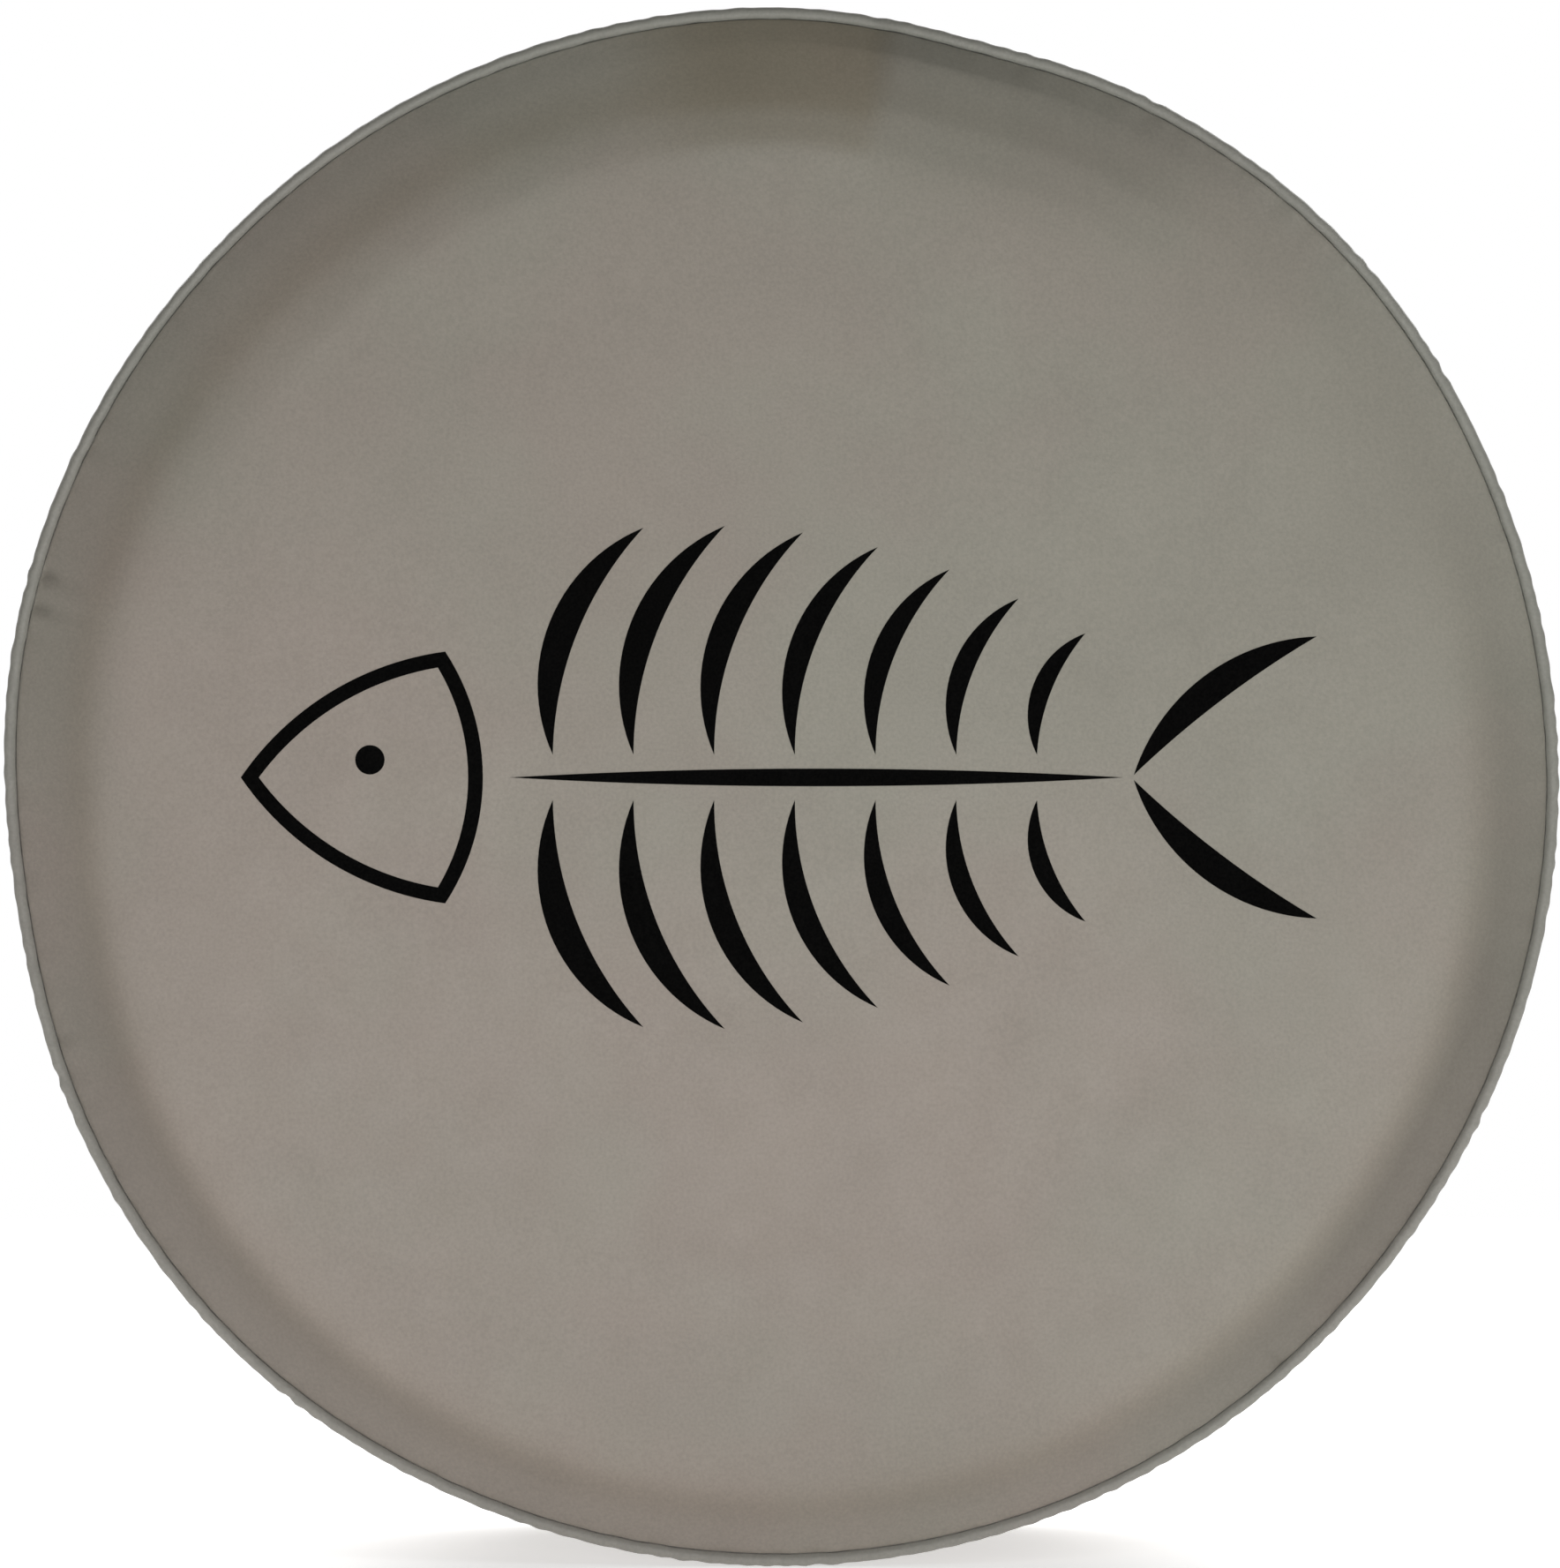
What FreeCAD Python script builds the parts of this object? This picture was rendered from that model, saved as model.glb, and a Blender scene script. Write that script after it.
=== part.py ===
"""Soft vinyl cover for a spare tyre, shaped as it sits on the tyre.

A round face panel and a side band made of two panels meet in a piped seam at the front. The band turns in
behind the tyre as a skirt, and its edge is bound by a casing that holds a loop of elastic cord. Two tabs with
eyelets for a lock cable are sewn to the casing, and two drain eyelets sit in the bottom of the band.

Frame: the origin is the centre of the tyre, the tyre's axis is Y, the face looks to -Y and +Z is up. Places
round the rim are angles in degrees, counted from +X towards +Z. A profile is drawn in the XY plane, with x as
the radius and y as the place along the axis, and is turned about Y. All lengths are in millimetres.
"""

import FreeCAD
import Part
import Sketcher
import math
import os

Vector = FreeCAD.Vector
AXIS = Vector(0, 1, 0)
ORIGIN = Vector(0, 0, 0)
PARTS = "parts"
ROUND = 1e-6

# alias, value, what it is
DIMENSIONS = (
    ("tyre_radius", 366.5, "outside of the tread of the tyre that the cover is made for"),
    ("tyre_width", 235.0, "width of that tyre over its walls"),
    ("slack", 1.5, "gap between the tyre and the cover"),
    ("vinyl", 0.9, "thickness of the panels' vinyl"),
    ("half_depth", 98.0, "from the middle of the tyre to the front seam, and to the rear bend"),
    ("flat_radius", 320.0, "edge of the flat middle of the face, where the tyre's wall ends"),
    ("face_bend", 40.0, "radius of the bend where the face leaves the flat"),
    ("rear_bend", 24.0, "radius of the band's rear bend"),
    ("skirt_bend", 30.0, "radius of the bend where the skirt turns flat"),
    ("seam_angle", 34.0, "lean of the seam allowances from the radius"),
    ("allowance", 12.0, "depth of the seam allowances"),
    ("fold_run", 1.6, "how far a panel's inner side is set back at the seam fold"),
    ("welt_strip", 0.7, "thickness of the strip round the piping cord"),
    ("welt_cord", 2.2, "radius of the piping cord"),
    ("binding", 0.5, "thickness of the tape that binds the allowances"),
    ("binding_depth", 5.0, "how far the binding tape reaches over the allowances"),
    ("ease", 0.05, "gap between sewn layers"),
    ("hem_radius", 296.0, "inner edge of the skirt"),
    ("casing_lap", 10.0, "how far the casing reaches over the skirt"),
    ("casing_centre", 289.5, "radius of the elastic's loop"),
    ("casing_bore", 4.0, "inner radius of the casing's tube"),
    ("elastic", 3.0, "radius of the elastic cord"),
    ("elastic_gap", 0.1, "angle between the elastic's two ends"),
    ("crimp_wall", 0.7, "wall of the sleeve that joins the elastic's ends"),
    ("crimp_angle", 2.8, "length of that sleeve, as an angle round the loop"),
    ("bottom", 270.0, "angle of the lowest point of the rim"),
    ("join_top", 80.0, "angle of the upper join of the band's panels"),
    ("join_bottom", 250.0, "angle of the lower join of the band's panels"),
    ("tape", 0.6, "thickness of the tape behind a join"),
    ("tape_angle", 4.0, "width of that tape, as an angle"),
    ("tape_inset", 10.0, "from the front seam's plane to the front end of the tape"),
    ("tape_rear", 24.0, "from the rear bend's plane to the rear end of the tape"),
    ("drain_angle", 276.0, "angle of the first drain eyelet"),
    ("drain_spread", 12.0, "angle between the two drain eyelets"),
    ("drain_bore", 4.0, "inner radius of a drain eyelet"),
    ("drain_flange", 7.0, "outer radius of a drain eyelet"),
    ("lock_bore", 5.0, "inner radius of a lock eyelet"),
    ("lock_flange", 9.5, "outer radius of a lock eyelet"),
    ("lock_radius", 271.0, "from the axis to the middle of a lock eyelet"),
    ("lock_spread", 24.0, "angle between the two lock tabs"),
    ("tab_thickness", 1.2, "thickness of a lock tab"),
    ("tab_width", 26.0, "width of a lock tab"),
    ("tab_tip", 257.0, "from the axis to a tab's free end"),
    ("tab_root", 312.0, "from the axis to a tab's sewn end"),
    ("tab_step", 5.0, "length of a tab's step over the casing's tube"),
    ("tab_set", 0.5, "how far the rear side of that step is set out"),
    ("tab_row", 3.0, "from a tab's sewn end to its first row of stitches"),
    ("eyelet_wall", 0.6, "thickness of the eyelets' metal"),
    ("thread", 0.5, "thickness of a stitch"),
    ("stitch", 3.6, "length of a stitch"),
    ("stitch_pitch", 5.0, "from one stitch to the next"),
    ("join_row", 4.0, "from a join to its rows of stitches"),
    ("label_span", 4.7, "width of the care label, as an angle"),
    ("label_length", 44.0, "length of the care label"),
    ("label_angle", 225.0, "angle of the care label"),
    ("label_cloth", 0.4, "thickness of the care label"),
    ("film", 0.12, "thickness of the printed film"),
    ("print_length", 512.0, "length of the printed fish bone"),
    ("print_height", 240.0, "height over the longest ribs"),
    ("print_raise", 4.0, "how far the fish bone sits above the middle"),
    ("print_line", 7.0, "width of the lines of the printed head"),
)
RIB_PAIRS = 7

# Where a sheet bends, one side's corner is set back by this share of its thickness
SHALLOW_MITRE = 0.2
STEEP_MITRE = 0.7


class Size:
    """A length with its value and the expression that the sheet works it out by."""

    def __init__(self, value, text):
        self.value = value
        self.text = text

    @staticmethod
    def of(other):
        return other if isinstance(other, Size) else Size(other, repr(other))

    def __add__(self, other):
        other = Size.of(other)
        return Size(self.value + other.value, f"({self.text} + {other.text})")

    def __sub__(self, other):
        other = Size.of(other)
        return Size(self.value - other.value, f"({self.text} - {other.text})")

    def __mul__(self, other):
        other = Size.of(other)
        return Size(self.value * other.value, f"({self.text} * {other.text})")

    def __truediv__(self, other):
        other = Size.of(other)
        return Size(self.value / other.value, f"({self.text} / {other.text})")

    def __neg__(self):
        return Size(-self.value, f"(0 - {self.text})")


ZERO = Size(0.0, "0")


class Sheet:
    """The spreadsheet of driving dimensions: sheet.alias is that cell as a Size."""

    def __init__(self, doc):
        cells = doc.addObject("Spreadsheet::Sheet", "Dims")
        for row, (alias, value, meaning) in enumerate(DIMENSIONS, start=1):
            cells.set(f"A{row}", meaning)
            cells.set(f"B{row}", str(value))
            cells.setAlias(f"B{row}", alias)
        doc.recompute()
        self.cells = cells
        self.band_radius = self.tyre_radius + self.slack
        self.casing_edge = self.casing_bore + self.vinyl
        self.face_depth = self.tyre_width / 2.0 + self.slack + self.vinyl
        self.skirt_middle = self.tyre_width / 2.0 + self.casing_edge + self.ease * 2.0
        self.skirt_depth = self.skirt_middle + self.vinyl / 2.0

    def __getattr__(self, alias):
        return Size(float(self.cells.get(alias)), f"Dims.{alias}")


def cosine(angle):
    return Size(math.cos(math.radians(angle.value)), f"cos({angle.text} * 1 deg)")


def sine(angle):
    return Size(math.sin(math.radians(angle.value)), f"sin({angle.text} * 1 deg)")


def leg(long_side, other_leg):
    """The second leg of a right triangle."""
    value = math.sqrt(long_side.value**2 - other_leg.value**2)
    return Size(value, f"sqrt({long_side.text}^2 - {other_leg.text}^2)")


# Sketches and features


def origin_feature(body, role):
    return next(f for f in body.Origin.OriginFeatures if f.Role == role)


def new_sketch(body, name, plane="XY_Plane"):
    sketch = body.newObject("Sketcher::SketchObject", name)
    sketch.AttachmentSupport = (origin_feature(body, plane), [""])
    sketch.MapMode = "FlatFace"
    return sketch


def hold(sketch, kind, places, size):
    """One dimension of a sketch, bound to the sheet."""
    index = sketch.addConstraint(Sketcher.Constraint(kind, *places, size.value))
    sketch.setExpression(f"Constraints[{index}]", size.text)


def draw_outline(sketch, corners, arcs=None):
    """A closed outline, each corner held by its two coordinates.

    A run is straight, unless arcs gives its centre, its radius and its way round, 1 if anticlockwise or -1.
    """
    arcs = arcs or {}
    first = sketch.GeometryCount
    count = len(corners)
    starts, ends = [], []
    for i in range(count):
        here, there = [Vector(x.value, y.value, 0) for x, y in (corners[i], corners[(i + 1) % count])]
        way = arcs[i][2] if i in arcs else 1
        if i in arcs:
            centre = Vector(arcs[i][0][0].value, arcs[i][0][1].value, 0)
            circle = Part.Circle(centre, Vector(0, 0, 1), arcs[i][1].value)
            begin, finish = (here, there) if way == 1 else (there, here)
            run = Part.ArcOfCircle(circle, circle.parameter(begin), circle.parameter(finish))
        else:
            run = Part.LineSegment(here, there)
        sketch.addGeometry(run, False)
        starts.append(1 if way == 1 else 2)
        ends.append(2 if way == 1 else 1)
    for i, (x, y) in enumerate(corners):
        following = (i + 1) % count
        ends_meet = (first + i, ends[i], first + following, starts[following])
        sketch.addConstraint(Sketcher.Constraint("Coincident", *ends_meet))
        hold(sketch, "DistanceX", (-1, 1, first + i, starts[i]), x)
        hold(sketch, "DistanceY", (-1, 1, first + i, starts[i]), y)
    for i, (centre, radius, way) in arcs.items():
        hold(sketch, "Radius", (first + i,), radius)


def draw_folded_strip(sketch, point, bore, strip, half_gap, reach):
    """A strip folded round a cord, with both its ends running on side by side.

    point turns a place along and aside of the cord's middle into the sketch's own two coordinates.
    """
    outer = bore + strip
    side = half_gap + strip
    outer_run, inner_run = leg(outer, side), leg(bore, half_gap)
    corners = [
        point(reach, -side),
        point(outer_run, -side),
        point(outer_run, side),
        point(reach, side),
        point(reach, half_gap),
        point(inner_run, half_gap),
        point(inner_run, -half_gap),
        point(reach, -half_gap),
    ]
    middle = point(ZERO, ZERO)
    draw_outline(sketch, corners, {1: (middle, outer, -1), 5: (middle, bore, 1)})


def draw_circle(sketch, x, y, radius):
    index = sketch.addGeometry(
        Part.Circle(Vector(x.value, y.value, 0), Vector(0, 0, 1), radius.value), False
    )
    hold(sketch, "DistanceX", (-1, 1, index, 3), x)
    hold(sketch, "DistanceY", (-1, 1, index, 3), y)
    hold(sketch, "Radius", (index,), radius)


def new_body(doc, label):
    body = doc.addObject("PartDesign::Body", label)
    body.Label = label
    body.AllowCompound = True
    return body


def turned(body, name, sketch, angle=None, other_angle=None, axis="V_Axis"):
    """A profile turned about the tyre's axis, all the way round unless an angle is given."""
    feature = body.newObject("PartDesign::Revolution", name)
    feature.Profile = sketch
    feature.ReferenceAxis = (sketch, [axis])
    feature.Angle = 360
    if angle is not None:
        feature.setExpression("Angle", angle.text)
    if other_angle is not None:
        feature.Type = "TwoAngles"
        feature.setExpression("Angle2", other_angle.text)
    sketch.Visibility = False
    return feature


def ring_edges(shape, rings):
    """The names of a shape's round edges about the axis that have one of these radii and places."""
    names = []
    for number, edge in enumerate(shape.Edges, start=1):
        curve = edge.Curve
        if not isinstance(curve, Part.Circle):
            continue
        for radius, place in rings:
            if abs(curve.Radius - radius.value) < ROUND and abs(curve.Center.y - place.value) < ROUND:
                names.append(f"Edge{number}")
    return names


def rounded(doc, body, name, base, rings, radius):
    """A fillet along round edges that lie at the given radii and places."""
    doc.recompute()
    fillet = body.newObject("PartDesign::Fillet", name)
    fillet.Base = (base, ring_edges(base.Shape, rings))
    fillet.setExpression("Radius", radius.text)
    return fillet


def swing(item, angle):
    """Sets an object's +X at an angle round the rim, counted from +X towards +Z."""
    item.Placement = FreeCAD.Placement(ORIGIN, FreeCAD.Rotation(AXIS, -angle))


def seam_point(s, along, aside):
    """A point of the front seam: along its lean into the cover, and aside towards the front of it.

    The allowances of the face, the piping and the band lie on each other at the seam's angle.
    """
    lean_in, lean_back = cosine(s.seam_angle), sine(s.seam_angle)
    start = s.band_radius + s.vinyl - s.welt_strip * lean_back
    radius = start - along * lean_in - aside * lean_back
    place = along * lean_back - aside * lean_in - s.half_depth
    return radius, place


# Panels


def face_panel(doc, s):
    """The round front panel: flat in the middle, sloped to the seam, with its allowance turned in."""
    body = new_body(doc, "face_panel")
    sketch = new_sketch(body, "face_profile")
    outer, inner = s.welt_strip, s.welt_strip + s.vinyl
    back = s.vinyl - s.face_depth
    corners = [
        (ZERO, -s.face_depth),
        (s.flat_radius, -s.face_depth),
        seam_point(s, ZERO, outer),
        seam_point(s, s.allowance, outer),
        seam_point(s, s.allowance, inner),
        seam_point(s, s.fold_run, inner),
        (s.flat_radius - s.vinyl * SHALLOW_MITRE, back),
        (ZERO, back),
    ]
    draw_outline(sketch, corners)
    disc = turned(body, "face_turn", sketch)
    rounded(doc, body, "face_front_bend", disc, [corners[1]], s.face_bend)
    return body


def band_panel(doc, s, label, start, angle, other_angle):
    """One panel of the band: allowance, straight wall, rear bend and skirt, turned part of the way."""
    body = new_body(doc, label)
    sketch = new_sketch(body, f"{label}_profile")
    outside = s.band_radius + s.vinyl
    outer, inner = -s.welt_strip, -(s.welt_strip + s.vinyl)
    skirt_inside = s.skirt_depth - s.vinyl
    corners = [
        seam_point(s, ZERO, outer),
        seam_point(s, s.allowance, outer),
        seam_point(s, s.allowance, inner),
        (s.band_radius, seam_point(s, s.fold_run, inner)[1]),
        (s.band_radius, s.half_depth - s.vinyl * STEEP_MITRE),
        (s.flat_radius, skirt_inside),
        (s.hem_radius, skirt_inside),
        (s.hem_radius, s.skirt_depth),
        (s.flat_radius + s.vinyl * SHALLOW_MITRE, s.skirt_depth),
        (outside, s.half_depth),
    ]
    draw_outline(sketch, corners)
    wall = turned(body, f"{label}_turn", sketch, angle=angle, other_angle=other_angle)
    bend = rounded(doc, body, f"{label}_rear_bend", wall, [corners[4], corners[9]], s.rear_bend)
    skirt_edges = [corners[5], corners[8]]
    rounded(doc, body, f"{label}_skirt_bend", bend, skirt_edges, s.skirt_bend)
    swing(body, start.value)
    return body


def cut_drains(doc, body, s):
    """Two holes for the drain eyelets, the first on the panel's +X."""
    sketch = new_sketch(body, "drain_circle", "YZ_Plane")
    draw_circle(sketch, ZERO, ZERO, s.drain_bore + s.eyelet_wall)
    hole = body.newObject("PartDesign::Pocket", "drain_hole")
    hole.Profile = sketch
    hole.Type = "ThroughAll"
    hole.Midplane = True
    doc.recompute()
    pattern = body.newObject("PartDesign::PolarPattern", "drain_holes")
    pattern.Originals = [hole]
    pattern.Axis = (origin_feature(body, "Y_Axis"), [""])
    pattern.Occurrences = 2
    pattern.setExpression("Angle", s.drain_spread.text)
    body.Tip = pattern
    sketch.Visibility = False


def band_panels(doc, s):
    """The right panel carries the drains. The left panel closes the ring."""
    turn = 360
    to_lower_join = s.drain_angle - s.join_bottom
    to_upper_join = s.join_top - s.drain_angle + turn
    right = band_panel(doc, s, "band_right_panel", s.drain_angle, to_lower_join, to_upper_join)
    cut_drains(doc, right, s)
    left = band_panel(doc, s, "band_left_panel", s.join_bottom, s.join_bottom - s.join_top, None)
    return [right, left]


def join_tape(doc, s, label, middle):
    """Tape behind a join of the band, along its straight wall."""
    body = new_body(doc, label)
    sketch = new_sketch(body, f"{label}_profile")
    outside = s.band_radius - s.ease
    front, back = s.tape_inset - s.half_depth, s.half_depth - s.tape_rear
    corners = [
        (outside - s.tape, front),
        (outside, front),
        (outside, back),
        (outside - s.tape, back),
    ]
    draw_outline(sketch, corners)
    turned(body, f"{label}_turn", sketch, angle=s.tape_angle)
    swing(body, middle.value + s.tape_angle.value / 2)
    return body


# The piped front seam


def welt_middle(s):
    """Where the piping cord's own middle lies: just outside the seam, on its lean."""
    return seam_point(s, -(s.welt_cord + s.welt_strip), ZERO)


def welt_cord(doc, s):
    """The cord inside the piping."""
    ring = doc.addObject("Part::Torus", "welt_cord")
    ring.Label = "welt_cord"
    radius, place = welt_middle(s)
    ring.setExpression("Radius1", radius.text)
    ring.setExpression("Radius2", s.welt_cord.text)
    ring.Placement = FreeCAD.Placement(
        Vector(0, place.value, 0), FreeCAD.Rotation(Vector(1, 0, 0), -90)
    )
    return ring


def welt_cover(doc, s):
    """The strip folded round the piping cord, with its two layers running down into the seam."""
    body = new_body(doc, "welt_cover")
    sketch = new_sketch(body, "welt_profile")
    bead = s.welt_cord + s.welt_strip

    def point(along, aside):
        return seam_point(s, along - bead, aside)

    draw_folded_strip(sketch, point, s.welt_cord, s.welt_strip - s.ease * 2.0, s.ease, s.allowance + bead)
    turned(body, "welt_turn", sketch)
    return body


def seam_binding(doc, s):
    """Tape folded over the raw edges of the seam allowances."""
    body = new_body(doc, "seam_binding")
    sketch = new_sketch(body, "binding_profile")
    stack = s.welt_strip + s.vinyl + s.ease
    outside = stack + s.binding
    edge = s.allowance + s.ease
    lap = s.allowance - s.binding_depth
    corners = [
        seam_point(s, lap, stack),
        seam_point(s, lap, outside),
        seam_point(s, edge + s.binding, outside),
        seam_point(s, edge + s.binding, -outside),
        seam_point(s, lap, -outside),
        seam_point(s, lap, -stack),
        seam_point(s, edge, -stack),
        seam_point(s, edge, stack),
    ]
    draw_outline(sketch, corners)
    turned(body, "binding_turn", sketch)
    return body


# The elastic hem


def hem_casing(doc, s):
    """A strip folded round the elastic, its two edges lapped over both sides of the skirt."""
    body = new_body(doc, "hem_casing")
    sketch = new_sketch(body, "casing_profile")

    def point(along, aside):
        return s.casing_centre + along, s.skirt_middle + aside

    reach = s.hem_radius + s.casing_lap - s.casing_centre
    draw_folded_strip(sketch, point, s.casing_bore, s.vinyl, s.vinyl / 2.0 + s.ease, reach)
    turned(body, "casing_turn", sketch)
    return body


def elastic_cord(doc, s):
    """The elastic loop, its two ends meeting at the bottom."""
    body = new_body(doc, "elastic_cord")
    sketch = new_sketch(body, "elastic_circle")
    draw_circle(sketch, s.casing_centre, s.skirt_middle, s.elastic)
    turned(body, "elastic_turn", sketch, angle=Size(360.0, "360") - s.elastic_gap)
    swing(body, s.bottom.value - s.elastic_gap.value / 2)
    return body


def elastic_crimp(doc, s):
    """The metal sleeve that joins the elastic's ends."""
    body = new_body(doc, "elastic_crimp")
    sketch = new_sketch(body, "crimp_circles")
    middle = s.skirt_middle
    draw_circle(sketch, s.casing_centre, middle, s.elastic + s.crimp_wall)
    draw_circle(sketch, s.casing_centre, middle, s.elastic)
    turned(body, "crimp_turn", sketch, angle=s.crimp_angle)
    swing(body, s.bottom.value + s.crimp_angle.value / 2)
    return body


# Lock tabs and eyelets


def tab_back(s):
    """The side of a lock tab's free end that faces the tyre, just behind the casing's tube."""
    return s.skirt_middle + s.casing_edge + s.ease * 4.0


def lock_tab(doc, s, label, angle):
    """A vinyl tab sewn behind the casing, stepped over its tube, with a round free end and a hole."""
    body = new_body(doc, label)
    sketch = new_sketch(body, f"{label}_profile")
    low = s.skirt_depth + s.vinyl + s.ease * 2.0
    high = tab_back(s)
    tube_edge = s.casing_centre + s.casing_edge
    corners = [
        (s.tab_tip, high),
        (tube_edge, high),
        (tube_edge + s.tab_step, low),
        (s.tab_root, low),
        (s.tab_root, low + s.tab_thickness),
        (tube_edge + s.tab_step + s.tab_set, low + s.tab_thickness),
        (tube_edge + s.tab_set, high + s.tab_thickness),
        (s.tab_tip, high + s.tab_thickness),
    ]
    draw_outline(sketch, corners)
    strip = body.newObject("PartDesign::Pad", f"{label}_strip")
    strip.Profile = sketch
    strip.Midplane = True
    strip.setExpression("Length", s.tab_width.text)
    doc.recompute()
    tip = body.newObject("PartDesign::Fillet", f"{label}_tip")
    ends = [
        f"Edge{number}"
        for number, edge in enumerate(strip.Shape.Edges, start=1)
        if all(abs(v.X - s.tab_tip.value) < ROUND for v in edge.Vertexes)
        and abs(edge.Vertexes[0].Z - edge.Vertexes[1].Z) < ROUND
    ]
    tip.Base = (strip, ends)
    tip.setExpression("Radius", (s.tab_width / 2.0 - 0.5).text)
    doc.recompute()
    circle = new_sketch(body, f"{label}_circle", "XZ_Plane")
    draw_circle(circle, s.lock_radius, ZERO, s.lock_bore + s.eyelet_wall)
    hole = body.newObject("PartDesign::Pocket", f"{label}_hole")
    hole.Profile = circle
    hole.Type = "ThroughAll"
    hole.Midplane = True
    circle.Visibility = False
    sketch.Visibility = False
    swing(body, angle)
    return body


def eyelet_profile(s, bore, flange, front, back, lip):
    """Half the section of an eyelet: flange in front, barrel through, lip rolled over behind.

    Pairs of (out from the eyelet's own axis, along that axis).
    """
    barrel = bore + s.eyelet_wall
    return [
        (bore, front - s.eyelet_wall),
        (flange, front - s.eyelet_wall),
        (flange, front),
        (barrel, front),
        (barrel, back),
        (lip, back),
        (lip, back + s.eyelet_wall),
        (bore, back + s.eyelet_wall),
    ]


def lock_hardware(doc, s):
    """The two lock eyelets, and the washers that they are closed over."""
    front = tab_back(s)
    back = front + s.tab_thickness
    washer_back = back + s.eyelet_wall
    lip = s.lock_bore + s.eyelet_wall * 4.0
    barrel = s.lock_bore + s.eyelet_wall
    shapes = {
        "lock_eyelets": eyelet_profile(s, s.lock_bore, s.lock_flange, front, washer_back, lip),
        "lock_washers": [
            (barrel, back),
            (s.lock_flange, back),
            (s.lock_flange, washer_back),
            (barrel, washer_back),
        ],
    }
    made = []
    for label, profile in shapes.items():
        body = new_body(doc, label)
        sketch = new_sketch(body, f"{label}_profile")
        draw_outline(sketch, [(s.lock_radius + out, along) for out, along in profile])
        centre = sketch.addGeometry(
            Part.LineSegment(
                Vector(s.lock_radius.value, 0, 0), Vector(s.lock_radius.value, front.value, 0)
            ),
            True,
        )
        for end, place in ((1, ZERO), (2, front)):
            hold(sketch, "DistanceX", (-1, 1, centre, end), s.lock_radius)
            hold(sketch, "DistanceY", (-1, 1, centre, end), place)
        one = turned(body, f"{label}_turn", sketch, axis="Axis0")
        add_pattern(doc, body, f"{label}_pair", one, s.lock_spread)
        swing(body, s.bottom.value + s.lock_spread.value / 2)
        made.append(body)
    return made


def add_pattern(doc, body, name, feature, spread):
    """A second copy of a feature, an angle further round the tyre's axis."""
    doc.recompute()
    pattern = body.newObject("PartDesign::PolarPattern", name)
    pattern.Originals = [feature]
    pattern.Axis = (origin_feature(body, "Y_Axis"), [""])
    pattern.Occurrences = 2
    pattern.setExpression("Angle", spread.text)
    body.Tip = pattern


def drain_hardware(doc, s):
    """The two drain eyelets through the bottom of the band, and their washers inside."""
    sag = 0.15
    outside = s.band_radius + s.vinyl + sag
    inside = s.band_radius - sag
    barrel = s.drain_bore + s.eyelet_wall
    lip = s.drain_bore + s.eyelet_wall * 2.5
    deepest = inside - s.eyelet_wall
    shapes = {
        "drain_eyelets": [
            (outside + s.eyelet_wall, s.drain_bore),
            (outside + s.eyelet_wall, s.drain_flange),
            (outside, s.drain_flange),
            (outside, barrel),
            (deepest, barrel),
            (deepest, lip),
            (deepest - s.eyelet_wall / 2.0, lip),
            (deepest - s.eyelet_wall / 2.0, s.drain_bore),
        ],
        "drain_washers": [
            (inside, barrel),
            (inside, s.drain_flange),
            (deepest, s.drain_flange),
            (deepest, barrel),
        ],
    }
    made = []
    for label, profile in shapes.items():
        body = new_body(doc, label)
        sketch = new_sketch(body, f"{label}_profile")
        draw_outline(sketch, profile)
        one = turned(body, f"{label}_turn", sketch, axis="H_Axis")
        add_pattern(doc, body, f"{label}_pair", one, s.drain_spread)
        swing(body, s.drain_angle.value)
        made.append(body)
    return made


def care_label(doc, s):
    """A blank cloth label, caught in the seam binding and lying on the band's wall."""
    body = new_body(doc, "care_label")
    sketch = new_sketch(body, "label_profile")
    outside = s.band_radius - s.ease
    front = seam_point(s, s.allowance, -(s.welt_strip + s.vinyl * 3.0))[1]
    corners = [
        (outside - s.label_cloth, front),
        (outside, front),
        (outside, front + s.label_length),
        (outside - s.label_cloth, front + s.label_length),
    ]
    draw_outline(sketch, corners)
    turned(body, "label_turn", sketch, angle=s.label_span)
    swing(body, s.label_angle.value)
    return body


# Stitching: each visible stitch is a small block of thread on the surface


def rim_point(radius, place, angle):
    turn = math.radians(angle)
    return Vector(radius * math.cos(turn), place, radius * math.sin(turn))


def stitch_block(s, middle, along, up):
    """One stitch, lying along a direction, with its underside on the surface at its middle."""
    length, width = s.stitch.value, s.thread.value
    block = Part.makeBox(length, width, width, Vector(-length / 2, -width / 2, 0))
    across = up.cross(along).normalize()
    matrix = FreeCAD.Matrix(
        along.x, across.x, up.x, middle.x,
        along.y, across.y, up.y, middle.y,
        along.z, across.z, up.z, middle.z,
        0, 0, 0, 1,
    )
    block.Placement = FreeCAD.Placement(matrix)
    return block


def stitch_ring(s, radius, place, up_in, up_back):
    """Stitches all the way round. The surface's normal has a part towards the axis and one along it."""
    count = int(2 * math.pi * radius / s.stitch_pitch.value)
    blocks = []
    for i in range(count):
        angle = 360 * i / count
        turn = math.radians(angle)
        inward = Vector(-math.cos(turn), 0, -math.sin(turn))
        along = Vector(-math.sin(turn), 0, math.cos(turn))
        up = inward * up_in + AXIS * up_back
        blocks.append(stitch_block(s, rim_point(radius, place, angle), along, up))
    return blocks


def seam_stitches(s):
    """The row that closes the front seam and its binding, on the side that faces the back."""
    aside = s.welt_strip + s.vinyl + s.binding + s.ease * 2.0
    along = s.allowance - s.binding_depth / 2.0
    radius, place = seam_point(s, along, -aside)
    lean = math.radians(s.seam_angle.value)
    return stitch_ring(s, radius.value, place.value, -math.sin(lean), math.cos(lean))


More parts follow.
